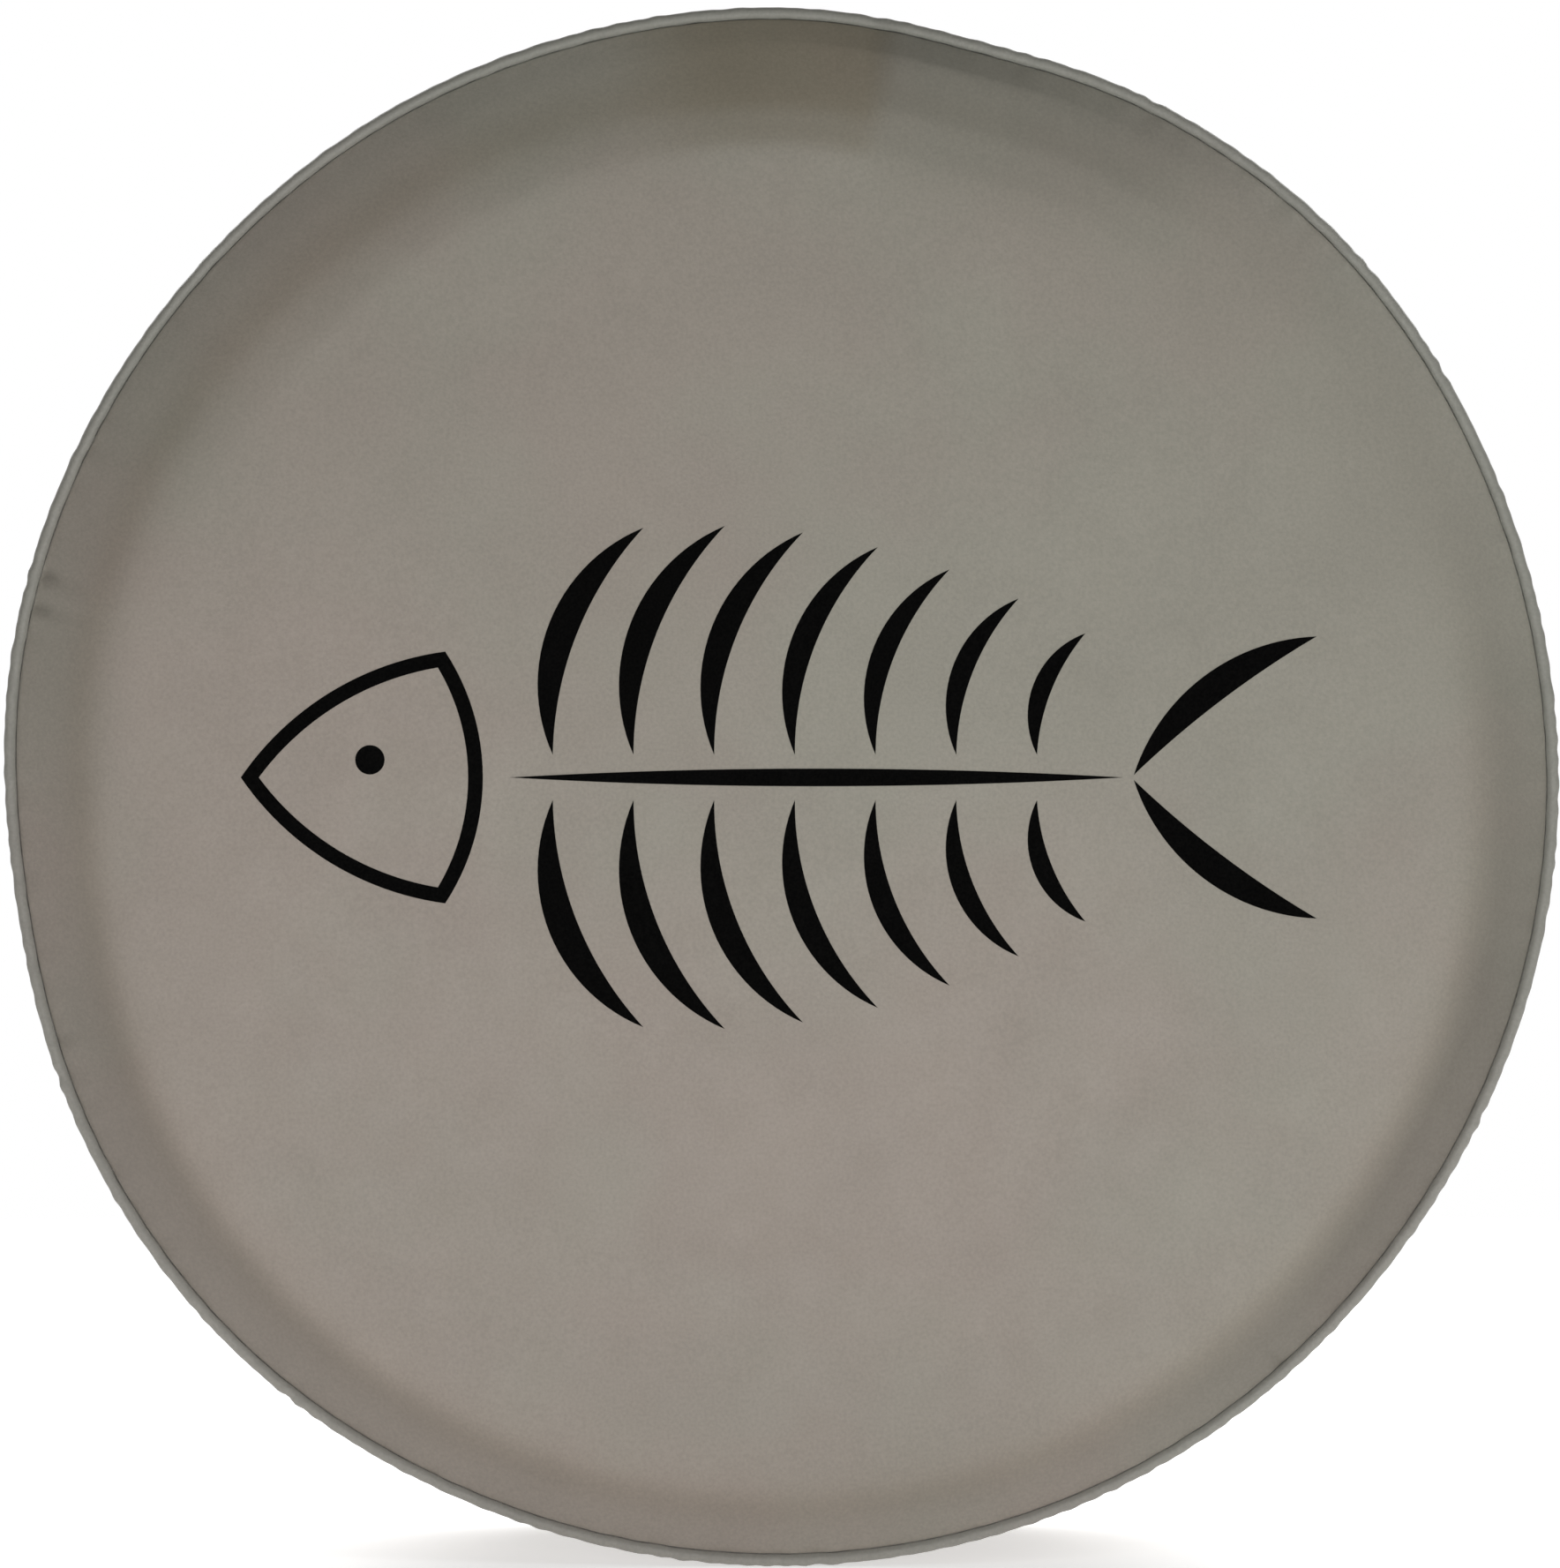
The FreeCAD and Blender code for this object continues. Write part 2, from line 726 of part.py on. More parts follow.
def hem_stitches(s):
    """Two rows through the casing and the skirt."""
    back = s.skirt_depth.value + s.vinyl.value + s.ease.value
    inner = s.hem_radius.value + s.casing_lap.value * 0.25
    outer = s.hem_radius.value + s.casing_lap.value * 0.75
    return stitch_ring(s, inner, back, 0, 1) + stitch_ring(s, outer, back, 0, 1)


def join_stitches(s):
    """A row along each side of both joins, on the outside of the band's straight wall."""
    radius = s.band_radius.value + s.vinyl.value
    front = s.tape_inset.value - s.half_depth.value
    back = s.half_depth.value - s.tape_rear.value
    aside = math.degrees(s.join_row.value / radius)
    count = int((back - front) / s.stitch_pitch.value)
    blocks = []
    for join in (s.join_top.value, s.join_bottom.value):
        for angle in (join - aside, join + aside):
            out = rim_point(1, 0, angle)
            for i in range(count):
                place = front + (i + 0.5) * (back - front) / count
                blocks.append(stitch_block(s, rim_point(radius, place, angle), AXIS, out))
    return blocks


def tab_stitches(s):
    """Two rows across the sewn end of each lock tab."""
    back = s.skirt_depth.value + s.vinyl.value + s.ease.value * 2 + s.tab_thickness.value
    count = int(s.tab_width.value / s.stitch_pitch.value)
    blocks = []
    for side in (-0.5, 0.5):
        middle = math.radians(s.bottom.value + side * s.lock_spread.value)
        out = Vector(math.cos(middle), 0, math.sin(middle))
        along = Vector(-math.sin(middle), 0, math.cos(middle))
        for radius in (s.tab_root.value - s.tab_row.value, s.tab_root.value - 3 * s.tab_row.value):
            for i in range(count):
                offset = (i - (count - 1) / 2) * s.stitch_pitch.value
                place = out * radius + along * offset + AXIS * back
                blocks.append(stitch_block(s, place, along, AXIS))
    return blocks


# The printed fish bone: plain blades on both sides of a straight spine, nose to -X


def arc_edge(start, middle, end):
    return Part.Arc(start, middle, end).toShape()


def blade(root, tip, bow, width):
    """A curved blade with two points: both edges bow to one side, one of them further."""
    middle = (root + tip) * 0.5
    across = (tip - root).cross(AXIS).normalize()
    near = middle + across * (bow - width / 2)
    far = middle + across * (bow + width / 2)
    return Part.Wire([arc_edge(root, near, tip), arc_edge(tip, far, root)])


def head_lines(s, at):
    """The head's outline and its round eye. The outline is a band of even width."""
    nose, brow, jaw = at(-1, 0), at(-0.62, 0.5), at(-0.62, -0.5)
    outer = Part.Wire(
        [
            arc_edge(nose, at(-0.84, 0.33), brow),
            arc_edge(brow, at(-0.55, 0), jaw),
            arc_edge(jaw, at(-0.84, -0.33), nose),
        ]
    )
    inner = Part.Face(outer).makeOffset2D(-s.print_line.value).OuterWire
    eye = Part.Wire([Part.Circle(at(-0.76, 0.07), AXIS, s.print_line.value).toShape()])
    return [[outer, inner], [eye]]


def fish_outlines(s):
    """The closed outlines of the print on the face's front plane, each with the hole in it."""
    half, top = s.print_length.value / 2, s.print_height.value / 2
    front = -s.face_depth.value

    def at(u, v):
        return Vector(u * half, front, v * top + s.print_raise.value)

    outlines = head_lines(s, at)
    for side in (1, -1):
        outlines.append([blade(at(0.66, 0), at(1, side * 0.56), side * 0.04 * half, 0.055 * half)])
    spine = [
        arc_edge(at(-0.5, 0), at(0.1, 0.035), at(0.64, 0)),
        arc_edge(at(0.64, 0), at(0.1, -0.035), at(-0.5, 0)),
    ]
    outlines.append([Part.Wire(spine)])
    for i in range(RIB_PAIRS):
        share = i / (RIB_PAIRS - 1)
        foot = -0.42 + 0.9 * share
        height = math.cos(1.15 * (share - 0.12))
        width = (0.055 - 0.02 * share) * half
        for side in (1, -1):
            root = at(foot, side * 0.09)
            tip = at(foot + 0.17 * height, side * (0.09 + 0.91 * height))
            outlines.append([blade(root, tip, side * 0.07 * half * height, width)])
    return outlines


def fish_print(s):
    """The film of the printed fish bone, one solid for each island of ink."""
    solids = []
    for wires in fish_outlines(s):
        face = Part.makeFace(wires, "Part::FaceMakerBullseye")
        solids.append(face.extrude(AXIS * -s.film.value))
    return solids


def add_group(doc, label, solids):
    """Separate solids that share one node."""
    item = doc.addObject("Part::Feature", label)
    item.Label = label
    item.Shape = Part.makeCompound(solids)
    item.Placement = FreeCAD.Placement()
    return item


# The whole cover


def build(doc):
    s = Sheet(doc)
    half_spread = s.lock_spread.value / 2
    items = [face_panel(doc, s)]
    items += band_panels(doc, s)
    items.append(join_tape(doc, s, "join_tape_top", s.join_top))
    items.append(join_tape(doc, s, "join_tape_bottom", s.join_bottom))
    items.append(welt_cord(doc, s))
    items.append(welt_cover(doc, s))
    items.append(seam_binding(doc, s))
    items.append(hem_casing(doc, s))
    items.append(elastic_cord(doc, s))
    items.append(elastic_crimp(doc, s))
    items.append(lock_tab(doc, s, "lock_tab_left", s.bottom.value - half_spread))
    items.append(lock_tab(doc, s, "lock_tab_right", s.bottom.value + half_spread))
    items += lock_hardware(doc, s)
    items += drain_hardware(doc, s)
    items.append(care_label(doc, s))
    items.append(add_group(doc, "seam_stitches", seam_stitches(s)))
    items.append(add_group(doc, "hem_stitches", hem_stitches(s)))
    items.append(add_group(doc, "join_stitches", join_stitches(s)))
    items.append(add_group(doc, "tab_stitches", tab_stitches(s)))
    items.append(add_group(doc, "fish_print", fish_print(s)))
    doc.recompute()
    return items


def check(doc, items):
    for thing in doc.Objects:
        if "Invalid" in thing.State or "Error" in thing.State:
            raise RuntimeError(f"{thing.Label} did not compute")
    for item in items:
        shape = item.Shape
        if shape.isNull() or not shape.isValid() or not shape.Solids:
            raise RuntimeError(f"{item.Label} has no valid solid")


def main():
    doc = FreeCAD.newDocument("spare_tyre_cover")
    items = build(doc)
    check(doc, items)
    os.makedirs(PARTS, exist_ok=True)
    for item in items:
        shape = item.Shape
        shape.exportStep(os.path.join(PARTS, f"{item.Label}.step"))
        print(f"{item.Label}: {len(shape.Solids)} solids, {shape.Volume / 1000:.2f} cm3")


main()
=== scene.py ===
"""The looks of a soft vinyl cover for a spare tyre, built round its CAD frame.

The origin is the centre of the tyre and its axis is Y. The printed face looks to -Y and +Z is up. Places round
the rim are angles counted from +X towards +Z. Sections lie in the plane of (radius, place along the axis), and
the band's places are also given as distances along its section, from the front seam to the hem. All lengths
are in metres.
"""

import math

import bpy
import numpy as np
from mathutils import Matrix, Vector
from mathutils.bvhtree import BVHTree
from mathutils.geometry import delaunay_2d_cdt


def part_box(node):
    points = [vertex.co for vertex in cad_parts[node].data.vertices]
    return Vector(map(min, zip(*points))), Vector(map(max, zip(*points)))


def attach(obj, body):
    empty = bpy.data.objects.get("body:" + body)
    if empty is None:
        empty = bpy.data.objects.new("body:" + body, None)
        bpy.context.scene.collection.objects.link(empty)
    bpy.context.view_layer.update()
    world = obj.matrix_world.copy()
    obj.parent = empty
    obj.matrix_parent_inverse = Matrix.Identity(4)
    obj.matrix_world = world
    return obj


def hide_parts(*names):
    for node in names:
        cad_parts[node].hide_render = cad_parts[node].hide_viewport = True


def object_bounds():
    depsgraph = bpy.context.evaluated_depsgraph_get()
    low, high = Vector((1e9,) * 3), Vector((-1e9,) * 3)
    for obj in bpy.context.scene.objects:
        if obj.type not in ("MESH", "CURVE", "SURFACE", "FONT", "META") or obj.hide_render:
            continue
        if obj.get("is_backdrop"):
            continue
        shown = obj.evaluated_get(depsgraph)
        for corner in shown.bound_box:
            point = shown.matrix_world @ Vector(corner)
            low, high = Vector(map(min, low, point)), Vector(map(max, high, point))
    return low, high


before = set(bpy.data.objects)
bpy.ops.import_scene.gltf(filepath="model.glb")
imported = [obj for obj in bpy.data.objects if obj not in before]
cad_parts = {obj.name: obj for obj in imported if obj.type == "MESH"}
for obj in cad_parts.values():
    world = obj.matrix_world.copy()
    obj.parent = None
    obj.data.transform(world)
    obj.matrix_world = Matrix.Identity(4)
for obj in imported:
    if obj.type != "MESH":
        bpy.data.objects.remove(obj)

cad_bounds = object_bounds()

MM = 0.001
TURN = 2 * math.pi

# Sizes that the frame gives

FACE_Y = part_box("face_panel")[0].y
BAND_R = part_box("band_right_panel")[1].x
SKIRT_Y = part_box("band_right_panel")[1].y
WELT_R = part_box("welt_cover")[1].x
HEM_LOW, HEM_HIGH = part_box("hem_casing")
LAP_R = HEM_HIGH.x
HEM_Y = (HEM_LOW.y + HEM_HIGH.y) / 2
CASING_R = (HEM_HIGH.y - HEM_LOW.y) / 2
TAB_LOW, TAB_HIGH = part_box("lock_tab_right")
PRINT_LOW, PRINT_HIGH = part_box("fish_print")

# Sizes of the sewn work

VINYL = 0.9 * MM
SEAM_Y = -98 * MM
SEAM_LEAN = math.radians(34)
FLAT_R = 320 * MM
BEAD = 2.9 * MM
CORD = 2.1 * MM
STRIP = 0.75 * MM
BAND_BEND = 1.3 * MM
FACE_BEND = 2.2 * MM
ALLOWANCE = 11.8 * MM
HEM_R = 296 * MM
CASING_MIDDLE = 289.5 * MM
ELASTIC = 3 * MM
DRAIN_HOLE = 4.7 * MM
LOCK_HOLE = 5.7 * MM
LOCK_R = 271 * MM
SKIRT_FOLDS = 62
SEAM_ROW_R = 358 * MM
JOIN_ROW = 4 * MM
STITCH = 5 * MM
THREAD = 0.26 * MM

JOINS = (math.radians(80), math.radians(250))
TAB_ANGLES = (math.radians(258), math.radians(282))
DRAIN_ANGLES = (math.radians(264), math.radians(276))
LABEL_ANGLES = (math.radians(225), math.radians(229.7))

SEAM_IN = Vector((-math.cos(SEAM_LEAN), math.sin(SEAM_LEAN)))
SEAM_ASIDE = Vector((-math.sin(SEAM_LEAN), -math.cos(SEAM_LEAN)))
SEAM_MOUTH = Vector((WELT_R - BEAD, SEAM_Y - BEAD * SEAM_IN.y)) + SEAM_IN * BEAD
BEHIND = np.array([0.0, 1.0, 0.0])


# Numbers on grids


def bell(x):
    return np.exp(-(x**2))


def degrees_from(angle, middle):
    """From -180 to 180, by an angle in radians and a middle in degrees."""
    return (np.degrees(angle) - middle + 180) % 360 - 180


def about(angle, middle, width):
    """A bump of height 1 round a middle, that fades over a width, both in degrees."""
    return bell(degrees_from(angle, middle) / width)


def near_any(angle, middles, width):
    """Bumps of a width in degrees round several angles."""
    return np.clip(sum(about(angle, math.degrees(middle), width) for middle in middles), 0, 1)


def ease(x):
    """0 below 0, 1 above 1, and smooth between."""
    x = np.clip(x, 0, 1)
    return x * x * (3 - 2 * x)


def ramp(x, width):
    """0 well below 0, x well above, with a bend as long as width."""
    return (x + np.sqrt(x * x + width * width)) / 2


def waves(angle, *terms):
    """A sum of waves round the rim: each term is a count round the turn, a height and a phase."""
    return sum(height * np.sin(count * angle + phase) for count, height, phase in terms)


def spin(radius, place, angle):
    """Points from radius, place along the axis and angle."""
    return np.stack([radius * np.cos(angle), place + 0 * angle, radius * np.sin(angle)], axis=-1)


def outward(angle):
    return spin(1 + 0 * angle, 0, angle)


def turn_angles(count):
    return np.arange(count) * TURN / count


def directions(first, last, count):
    """Unit vectors that turn from one direction to another, in degrees."""
    return [Vector((math.cos(turn), math.sin(turn))) for turn in np.radians(np.linspace(first, last, count))]


def unit(vectors):
    return vectors / np.maximum(np.linalg.norm(vectors, axis=-1, keepdims=True), 1e-12)


def grid_normals(points, wraps):
    """Unit normals of a grid: rows run along a section and columns round the rim."""
    along = np.gradient(points, axis=0)
    if wraps:
        around = np.roll(points, -1, axis=1) - np.roll(points, 1, axis=1)
    else:
        around = np.gradient(points, axis=1)
    return unit(np.cross(along, around))


def arc(start, middle, end, count):
    """Points on the arc through three points, without the last."""
    a, b = middle - start, end - start
    turned = 2 * a.cross(b)
    across = b.y * a.length_squared - a.y * b.length_squared, a.x * b.length_squared - b.x * a.length_squared
    centre = start + Vector(across) / turned
    first, last = (math.degrees(math.atan2(p.y - centre.y, p.x - centre.x)) for p in (start, end))
    last = first + (last - first) % 360 - (360 if turned < 0 else 0)
    return [centre + way * (start - centre).length for way in directions(first, last, count + 1)[:-1]]


def section_path(corners):
    """Distances along a section and its points, through corners of (radius, place, bend radius)."""
    spots = [Vector(corner[:2]) for corner in corners]
    points = spots[:1]
    for before, corner, after, (_, _, bend) in zip(spots, spots[1:], spots[2:], corners[1:]):
        back, on = (before - corner).normalized(), (after - corner).normalized()
        half = back.angle(on) / 2
        reach, deep = bend / math.tan(half), bend / math.sin(half) - bend
        begin, middle, end = corner + back * reach, corner + (back + on).normalized() * deep, corner + on * reach
        points += [*arc(begin, middle, end, max(3, int(bend * (math.pi - 2 * half) / (0.5 * MM)))), end]
    line = np.array(points + spots[-1:])
    return np.concatenate([[0], np.cumsum(np.hypot(*np.diff(line, axis=0).T))]), line


def spline_weights(t):
    return np.stack([(1 - t) ** 3, 3 * t**3 - 6 * t**2 + 4, 3 * (1 - t) ** 3 - 6 * (1 - t) ** 2 + 4, t**3]) / 6


def smooth_sample(places, field, place, angle):
    """A coarse grid of vectors read smoothly. Its rows are at given places and its columns go round the rim."""
    rows, columns = field.shape[:2]
    row = np.clip(np.interp(place, places, np.arange(rows)), 0, rows - 1.0001)
    column = (angle % TURN) * columns / TURN
    i, j = np.floor(row).astype(int), np.floor(column).astype(int)
    row_weights, column_weights = spline_weights(row - i), spline_weights(column - j)
    total = 0
    for a in range(4):
        for b in range(4):
            weight = (row_weights[a] * column_weights[b])[..., None]
            total = total + weight * field[np.clip(i + a - 1, 0, rows - 1), (j + b - 1) % columns]
    return total


# Meshes


def new_object(name, vertices, faces, smooth_to=50):
    """A mesh object, smooth but for edges sharper than an angle in degrees."""
    mesh = bpy.data.meshes.new(name)
    mesh.from_pydata(np.asarray(vertices).tolist(), [], faces)
    mesh.update()
    mesh.polygons.foreach_set("use_smooth", [True] * len(mesh.polygons))
    mesh.set_sharp_from_angle(angle=math.radians(smooth_to))
    item = bpy.data.objects.new(name, mesh)
    bpy.context.scene.collection.objects.link(item)
    return item


def paint(item, name, values):
    """One number for each vertex, for a material to read."""
    layer = item.data.attributes.new(name, "FLOAT", "POINT")
    layer.data.foreach_set("value", np.asarray(values, dtype=np.float32).ravel())


def grid_faces(rows, columns, wraps):
    i, j = np.meshgrid(np.arange(rows - 1), np.arange(columns if wraps else columns - 1), indexing="ij")
    k = (j + 1) % columns
    quads = np.stack([i * columns + j, (i + 1) * columns + j, (i + 1) * columns + k, i * columns + k], axis=-1)
    return quads.reshape(-1, 4).tolist()


def open_edges(faces):
    """The edges that only one face uses, as it goes round them."""
    uses = {}
    for face in faces:
        for edge in zip(face, [*face[1:], face[0]]):
            uses.setdefault(frozenset(edge), []).append(edge)
    return [found[0] for found in uses.values() if len(found) == 1]


def closed_sheet(name, faces, outside, inside, lined=True, smooth_to=50):
    """A closed sheet: faces on its outside, the same ones on its inside, and a strip along the open edges."""
    used = sorted({v for face in faces for v in face})
    number = dict(zip(used, range(len(used))))
    faces = [[number[v] for v in face] for face in faces]
    count = len(used)
    back = [[v + count for v in reversed(face)] for face in faces]
    sides = [(b, a, a + count, b + count) for a, b in open_edges(faces)]
    item = new_object(name, np.concatenate([outside[used], inside[used]]), faces + back + sides, smooth_to)
    if lined:
        paint(item, "lining", np.repeat([0.0, 1.0], count))
    return item


def thin_solid(name, outside, inside, holes=()):
    """A closed sheet between two grids of the same shape. A hole is (its middle, its radius), cut through."""
    skin, lining = outside.reshape(-1, 3).copy(), inside.reshape(-1, 3).copy()
    quads = np.array(grid_faces(*outside.shape[:2], False))
    for middle, radius in holes:
        cut = np.linalg.norm(skin - middle, axis=1) < radius
        quads = quads[~cut[quads].any(axis=1)]
    border = np.array(open_edges(quads.tolist()))[:, 0]
    for middle, radius in holes:
        ring = border[np.linalg.norm(skin[border] - middle, axis=1) < radius * 1.6]
        for side in (skin, lining):
            centre = side[ring].mean(axis=0)
            side[ring] = centre + unit(side[ring] - centre) * radius
    return closed_sheet(name, quads.tolist(), skin, lining)


def swept_ring(name, section, smooth_to=50):
    """A closed ring from a grid that wraps both ways: rows run round its section."""
    rows, columns = section.shape[:2]
    faces = np.array(grid_faces(rows + 1, columns, True)) % (rows * columns)
    return new_object(name, section.reshape(-1, 3), faces.tolist(), smooth_to)


# Cloth


def settle(name, start, rest, held, form, frames, stiffness, bending, weight, most):
    """How far a ring-shaped sheet moves as it settles on a form, smoothly cut down to the most allowed."""
    sheet = new_object(name, start.reshape(-1, 3), grid_faces(*start.shape[:2], True))
    body = new_object(name + "_form", form.reshape(-1, 3), grid_faces(*form.shape[:2], True))
    sheet.vertex_groups.new(name="held").add(held, 1.0, "REPLACE")
    sheet.shape_key_add(name="Basis")
    key = sheet.shape_key_add(name="rest")
    key.data.foreach_set("co", rest.astype(np.float32).ravel())
    key.value = 0
    cloth = sheet.modifiers.new("Cloth", "CLOTH")
    rules = cloth.settings
    rules.quality = 5
    rules.mass = 0.2
    rules.tension_stiffness = rules.compression_stiffness = stiffness
    rules.shear_stiffness = stiffness / 3
    rules.bending_stiffness = bending
    rules.air_damping = 5
    rules.vertex_group_mass = "held"
    rules.rest_shape_key = key
    rules.effector_weights.gravity = weight
    cloth.collision_settings.distance_min = 0.8 * MM
    cloth.point_cache.frame_end = frames
    body.modifiers.new("Collision", "COLLISION")
    body.collision.thickness_outer = 0.5 * MM
    body.collision.cloth_friction = 12
    for number in range(1, frames + 1):
        bpy.context.scene.frame_set(number)
    settled = sheet.evaluated_get(bpy.context.evaluated_depsgraph_get())
    points = np.zeros(start.size, np.float32)
    settled.data.vertices.foreach_get("co", points)
    for item in (sheet, body):
        mesh = item.data
        bpy.data.objects.remove(item)
        bpy.data.meshes.remove(mesh)
    bpy.context.scene.frame_set(1)
    moved = points.reshape(start.shape).astype(float) - start
    length = np.linalg.norm(moved, axis=-1, keepdims=True)
    return moved / np.maximum(length, 1e-12) * most * np.tanh(length / most)


# The form of the cover


def calm(angle, width):
    """0 round the drains and 1 elsewhere."""
    return 1 - near_any(angle, DRAIN_ANGLES, width)


def rim_shift(angle):
    """How far the front seam stands out of its true circle: where it is pulled in, or lies full."""
    dents = ((45, 14, 2.3), (75, 9, -4.2), (188, 13, -4.2), (226, 16, 2.3), (325, 18, -1.6), (122, 12, 0.8))
    shift = sum(size * MM * about(angle, middle, width) for middle, width, size in dents)
    return shift * calm(angle, 7)


def from_join(angle):
    """Degrees from the band's upper join, positive to the left of it."""
    return degrees_from(angle, math.degrees(JOINS[0]))


def upper_left(angle):
    """1 on the upper left, where the face leaves its flat early, cut off sharply at the band's join."""
    return ease((from_join(angle) - 0.2) / 3.0) * (1 - ease((from_join(angle) - 45) / 50))


def upper_right(angle):
    """1 on the upper right, up to the join, where the face bends little."""
    return ease((from_join(angle) + 75) / 32) * (1 - ease((from_join(angle) - 0.2) / 3.0))


def rim_push(angle):
    """How far the front seam sits behind its plane, or in front of it where it is below zero."""
    push = 4.2 * upper_left(angle) - 6 * about(angle, 38, 22) + 1.5 * about(angle, 335, 18)
    return push * MM * calm(angle, 7)


def seam_pucker(angle):
    """The small uneven waves that the seam's thread draws in the vinyl, about 19 mm from one to the next."""
    main = waves(angle, (121, 0.5, 0.4), (97, 0.35, 2.1), (148, 0.3, 4.0), (63, 0.25, 1.2))
    return main * (1 + 0.35 * waves(angle, (7, 0.6, 1.0), (13, 0.4, 3.0)))


def rim_row(spot, angle):
    """Points all round the rim at one spot of its section, moved with the front seam."""
    return spin(spot.x + rim_shift(angle), spot.y + rim_push(angle), angle)


def seam_grid(angle, spots):
    """Rows of points in the front seam, each from (along, aside) in its section."""
    return np.stack([rim_row(SEAM_MOUTH + SEAM_IN * along + SEAM_ASIDE * aside, angle) for along, aside in spots])


def roll_rows(angle, middle, bend, first, last, count, moved):
    """Rows over a panel's fold at the seam, between two directions in degrees. Its movement fades there."""
    rows = [rim_row(middle + way * bend, angle) for way in directions(first, last, count + 1)[1:]]
    return [row + moved * (1 - ease((i + 1) / 4)) for i, row in enumerate(rows)]


FACE_ROLL = SEAM_MOUTH + SEAM_IN * 1.3 * MM + SEAM_ASIDE * (STRIP + FACE_BEND)
FACE_TILT = math.radians(25)
FACE_EDGE = FACE_ROLL + Vector((math.sin(FACE_TILT), -math.cos(FACE_TILT))) * FACE_BEND
BAND_ROLL = SEAM_MOUTH + SEAM_IN * 2.5 * MM - SEAM_ASIDE * (STRIP + BAND_BEND)


def first_bend(angle):
    """The radius at which the face leaves its flat, which carries on further low down."""
    early = 2.5 * about(angle, 218, 28) + 1.5 * about(angle, 308, 20)
    return (325 + 8 * np.clip(-np.sin(angle), 0, 1) - early) * MM


def face_drop(radius, angle):
    """How far the face lies behind its flat middle: it bends once low down, and in three stages above."""

    def bends(*stages):
        def drop(r):
            return sum(slope * ramp(r - start, width * MM) for start, width, slope in stages)

        return drop(radius) / drop(FACE_EDGE.x)

    left, right = upper_left(angle), upper_right(angle)
    shape = (1 - left - right) * bends((first_bend(angle), 8, 1.0))
    shape = shape + left * bends((306 * MM, 5, 0.27), (328 * MM, 4, 0.15), (352 * MM, 4, 0.15))
    shape = shape + right * bends((296 * MM, 12, 0.16), (328 * MM, 6, 0.12), (351 * MM, 4, 0.24))
    return (FACE_EDGE.y + rim_push(angle) - FACE_Y) * shape


def face_points(radius, angle):
    """The face's smooth form, pulled in and out with the rim."""
    shift = rim_shift(angle) * ease((radius - 230 * MM) / (FACE_EDGE.x - 230 * MM))
    return spin(radius + shift, FACE_Y + face_drop(radius, angle), angle)


# Where vinyl is caught in the seam: the angle in degrees, the length and the depth in millimetres
CAUGHT = ((163.9, 9.5, 2.6), (166.4, 10.5, 2.4), (71.5, 9, 0.8), (199.5, 10, 0.9), (311, 10, 0.8))


def face_relief(radius, angle):
    """Heights on the face: puckers at the seam, vinyl caught in it in places, and a slow unevenness."""
    x, z = radius * np.cos(angle), radius * np.sin(angle)
    back = np.clip(FACE_EDGE.x - radius, 0, None)
    height = 0.4 * MM * seam_pucker(angle) * np.exp(-back / (7 * MM))
    for middle, reach, deep in CAUGHT:
        across = (angle - math.radians(middle)) * radius / (3.3 * MM)
        height = height - deep * MM * bell(across) * np.exp(-back / (reach * MM))
    height = height + 0.35 * MM * np.sin(17 * x + 9 * z + 1) * np.sin(13 * z - 6 * x + 0.5)
    return height + 0.2 * MM * np.sin(31 * x - 23 * z) * np.sin(27 * z + 11 * x + 2)


BAND_PATH = section_path(
    [
        (BAND_R, BAND_ROLL.y, 0),
        (BAND_R, -SEAM_Y, 24 * MM),
        (FLAT_R, SKIRT_Y, 30 * MM),
        (HEM_R, SKIRT_Y, 0),
    ]
)
BAND_LENGTH = BAND_PATH[0][-1]


def band_section(place):
    distance, line = BAND_PATH
    return np.interp(place, distance, line[:, 0]), np.interp(place, distance, line[:, 1])


def band_points(place, angle):
    """The band's smooth outside at a distance along its section."""
    radius, y = band_section(place)
    fade = 1 - ease(place / (120 * MM))
    return spin(radius + rim_shift(angle) * fade, y + rim_push(angle) * fade, angle)


def lift(points, place, angle, height):
    """Points of the band raised out of its smooth form."""
    r0, y0 = band_section(np.clip(place - MM, 0, BAND_LENGTH))
    r1, y1 = band_section(np.clip(place + MM, 0, BAND_LENGTH))
    length = np.hypot(r1 - r0, y1 - y0)
    out_r, out_y = (y1 - y0) / length, -(r1 - r0) / length
    return points + outward(angle) * (out_r * height)[..., None] + BEHIND * (out_y * height)[..., None]


def skirt_folds(place, angle):
    """How far the folds of the skirt stand out. They take up the cloth that the smaller hem has no room for."""
    radius = band_section(place)[0]
    spare = np.clip(BAND_R / radius - 1, 0, None)
    tall = 2 * radius / SKIRT_FOLDS * np.sqrt(spare)
    tall = tall * ease((place - 192 * MM) / (22 * MM)) * (0.22 + 0.78 * ease((BAND_LENGTH - place) / (19 * MM)))
    bend = waves(angle, (5, 1.5, 0.4), (11, 1.0, 2.0), (17, 0.8, 1.0), (29, 0.45, 0.3))
    bend = bend + 9 * (place - 220 * MM) * waves(angle, (13, 1.0, 0.9), (23, 0.8, 2.2))
    uneven = 1 + waves(angle, (7, 0.16, 1.0), (19, 0.16, 2.4), (31, 0.14, 0.2))
    wave = np.sin(SKIRT_FOLDS * angle + bend + 0.5 * np.sin(SKIRT_FOLDS * angle + bend))
    return tall * uneven * (1 + wave) * (1 - 0.85 * near_any(angle, TAB_ANGLES, 4))


def unsettled(place, angle):
    """The band's smooth form with the folds of its skirt."""
    return lift(band_points(place, angle), place, angle, skirt_folds(place, angle))


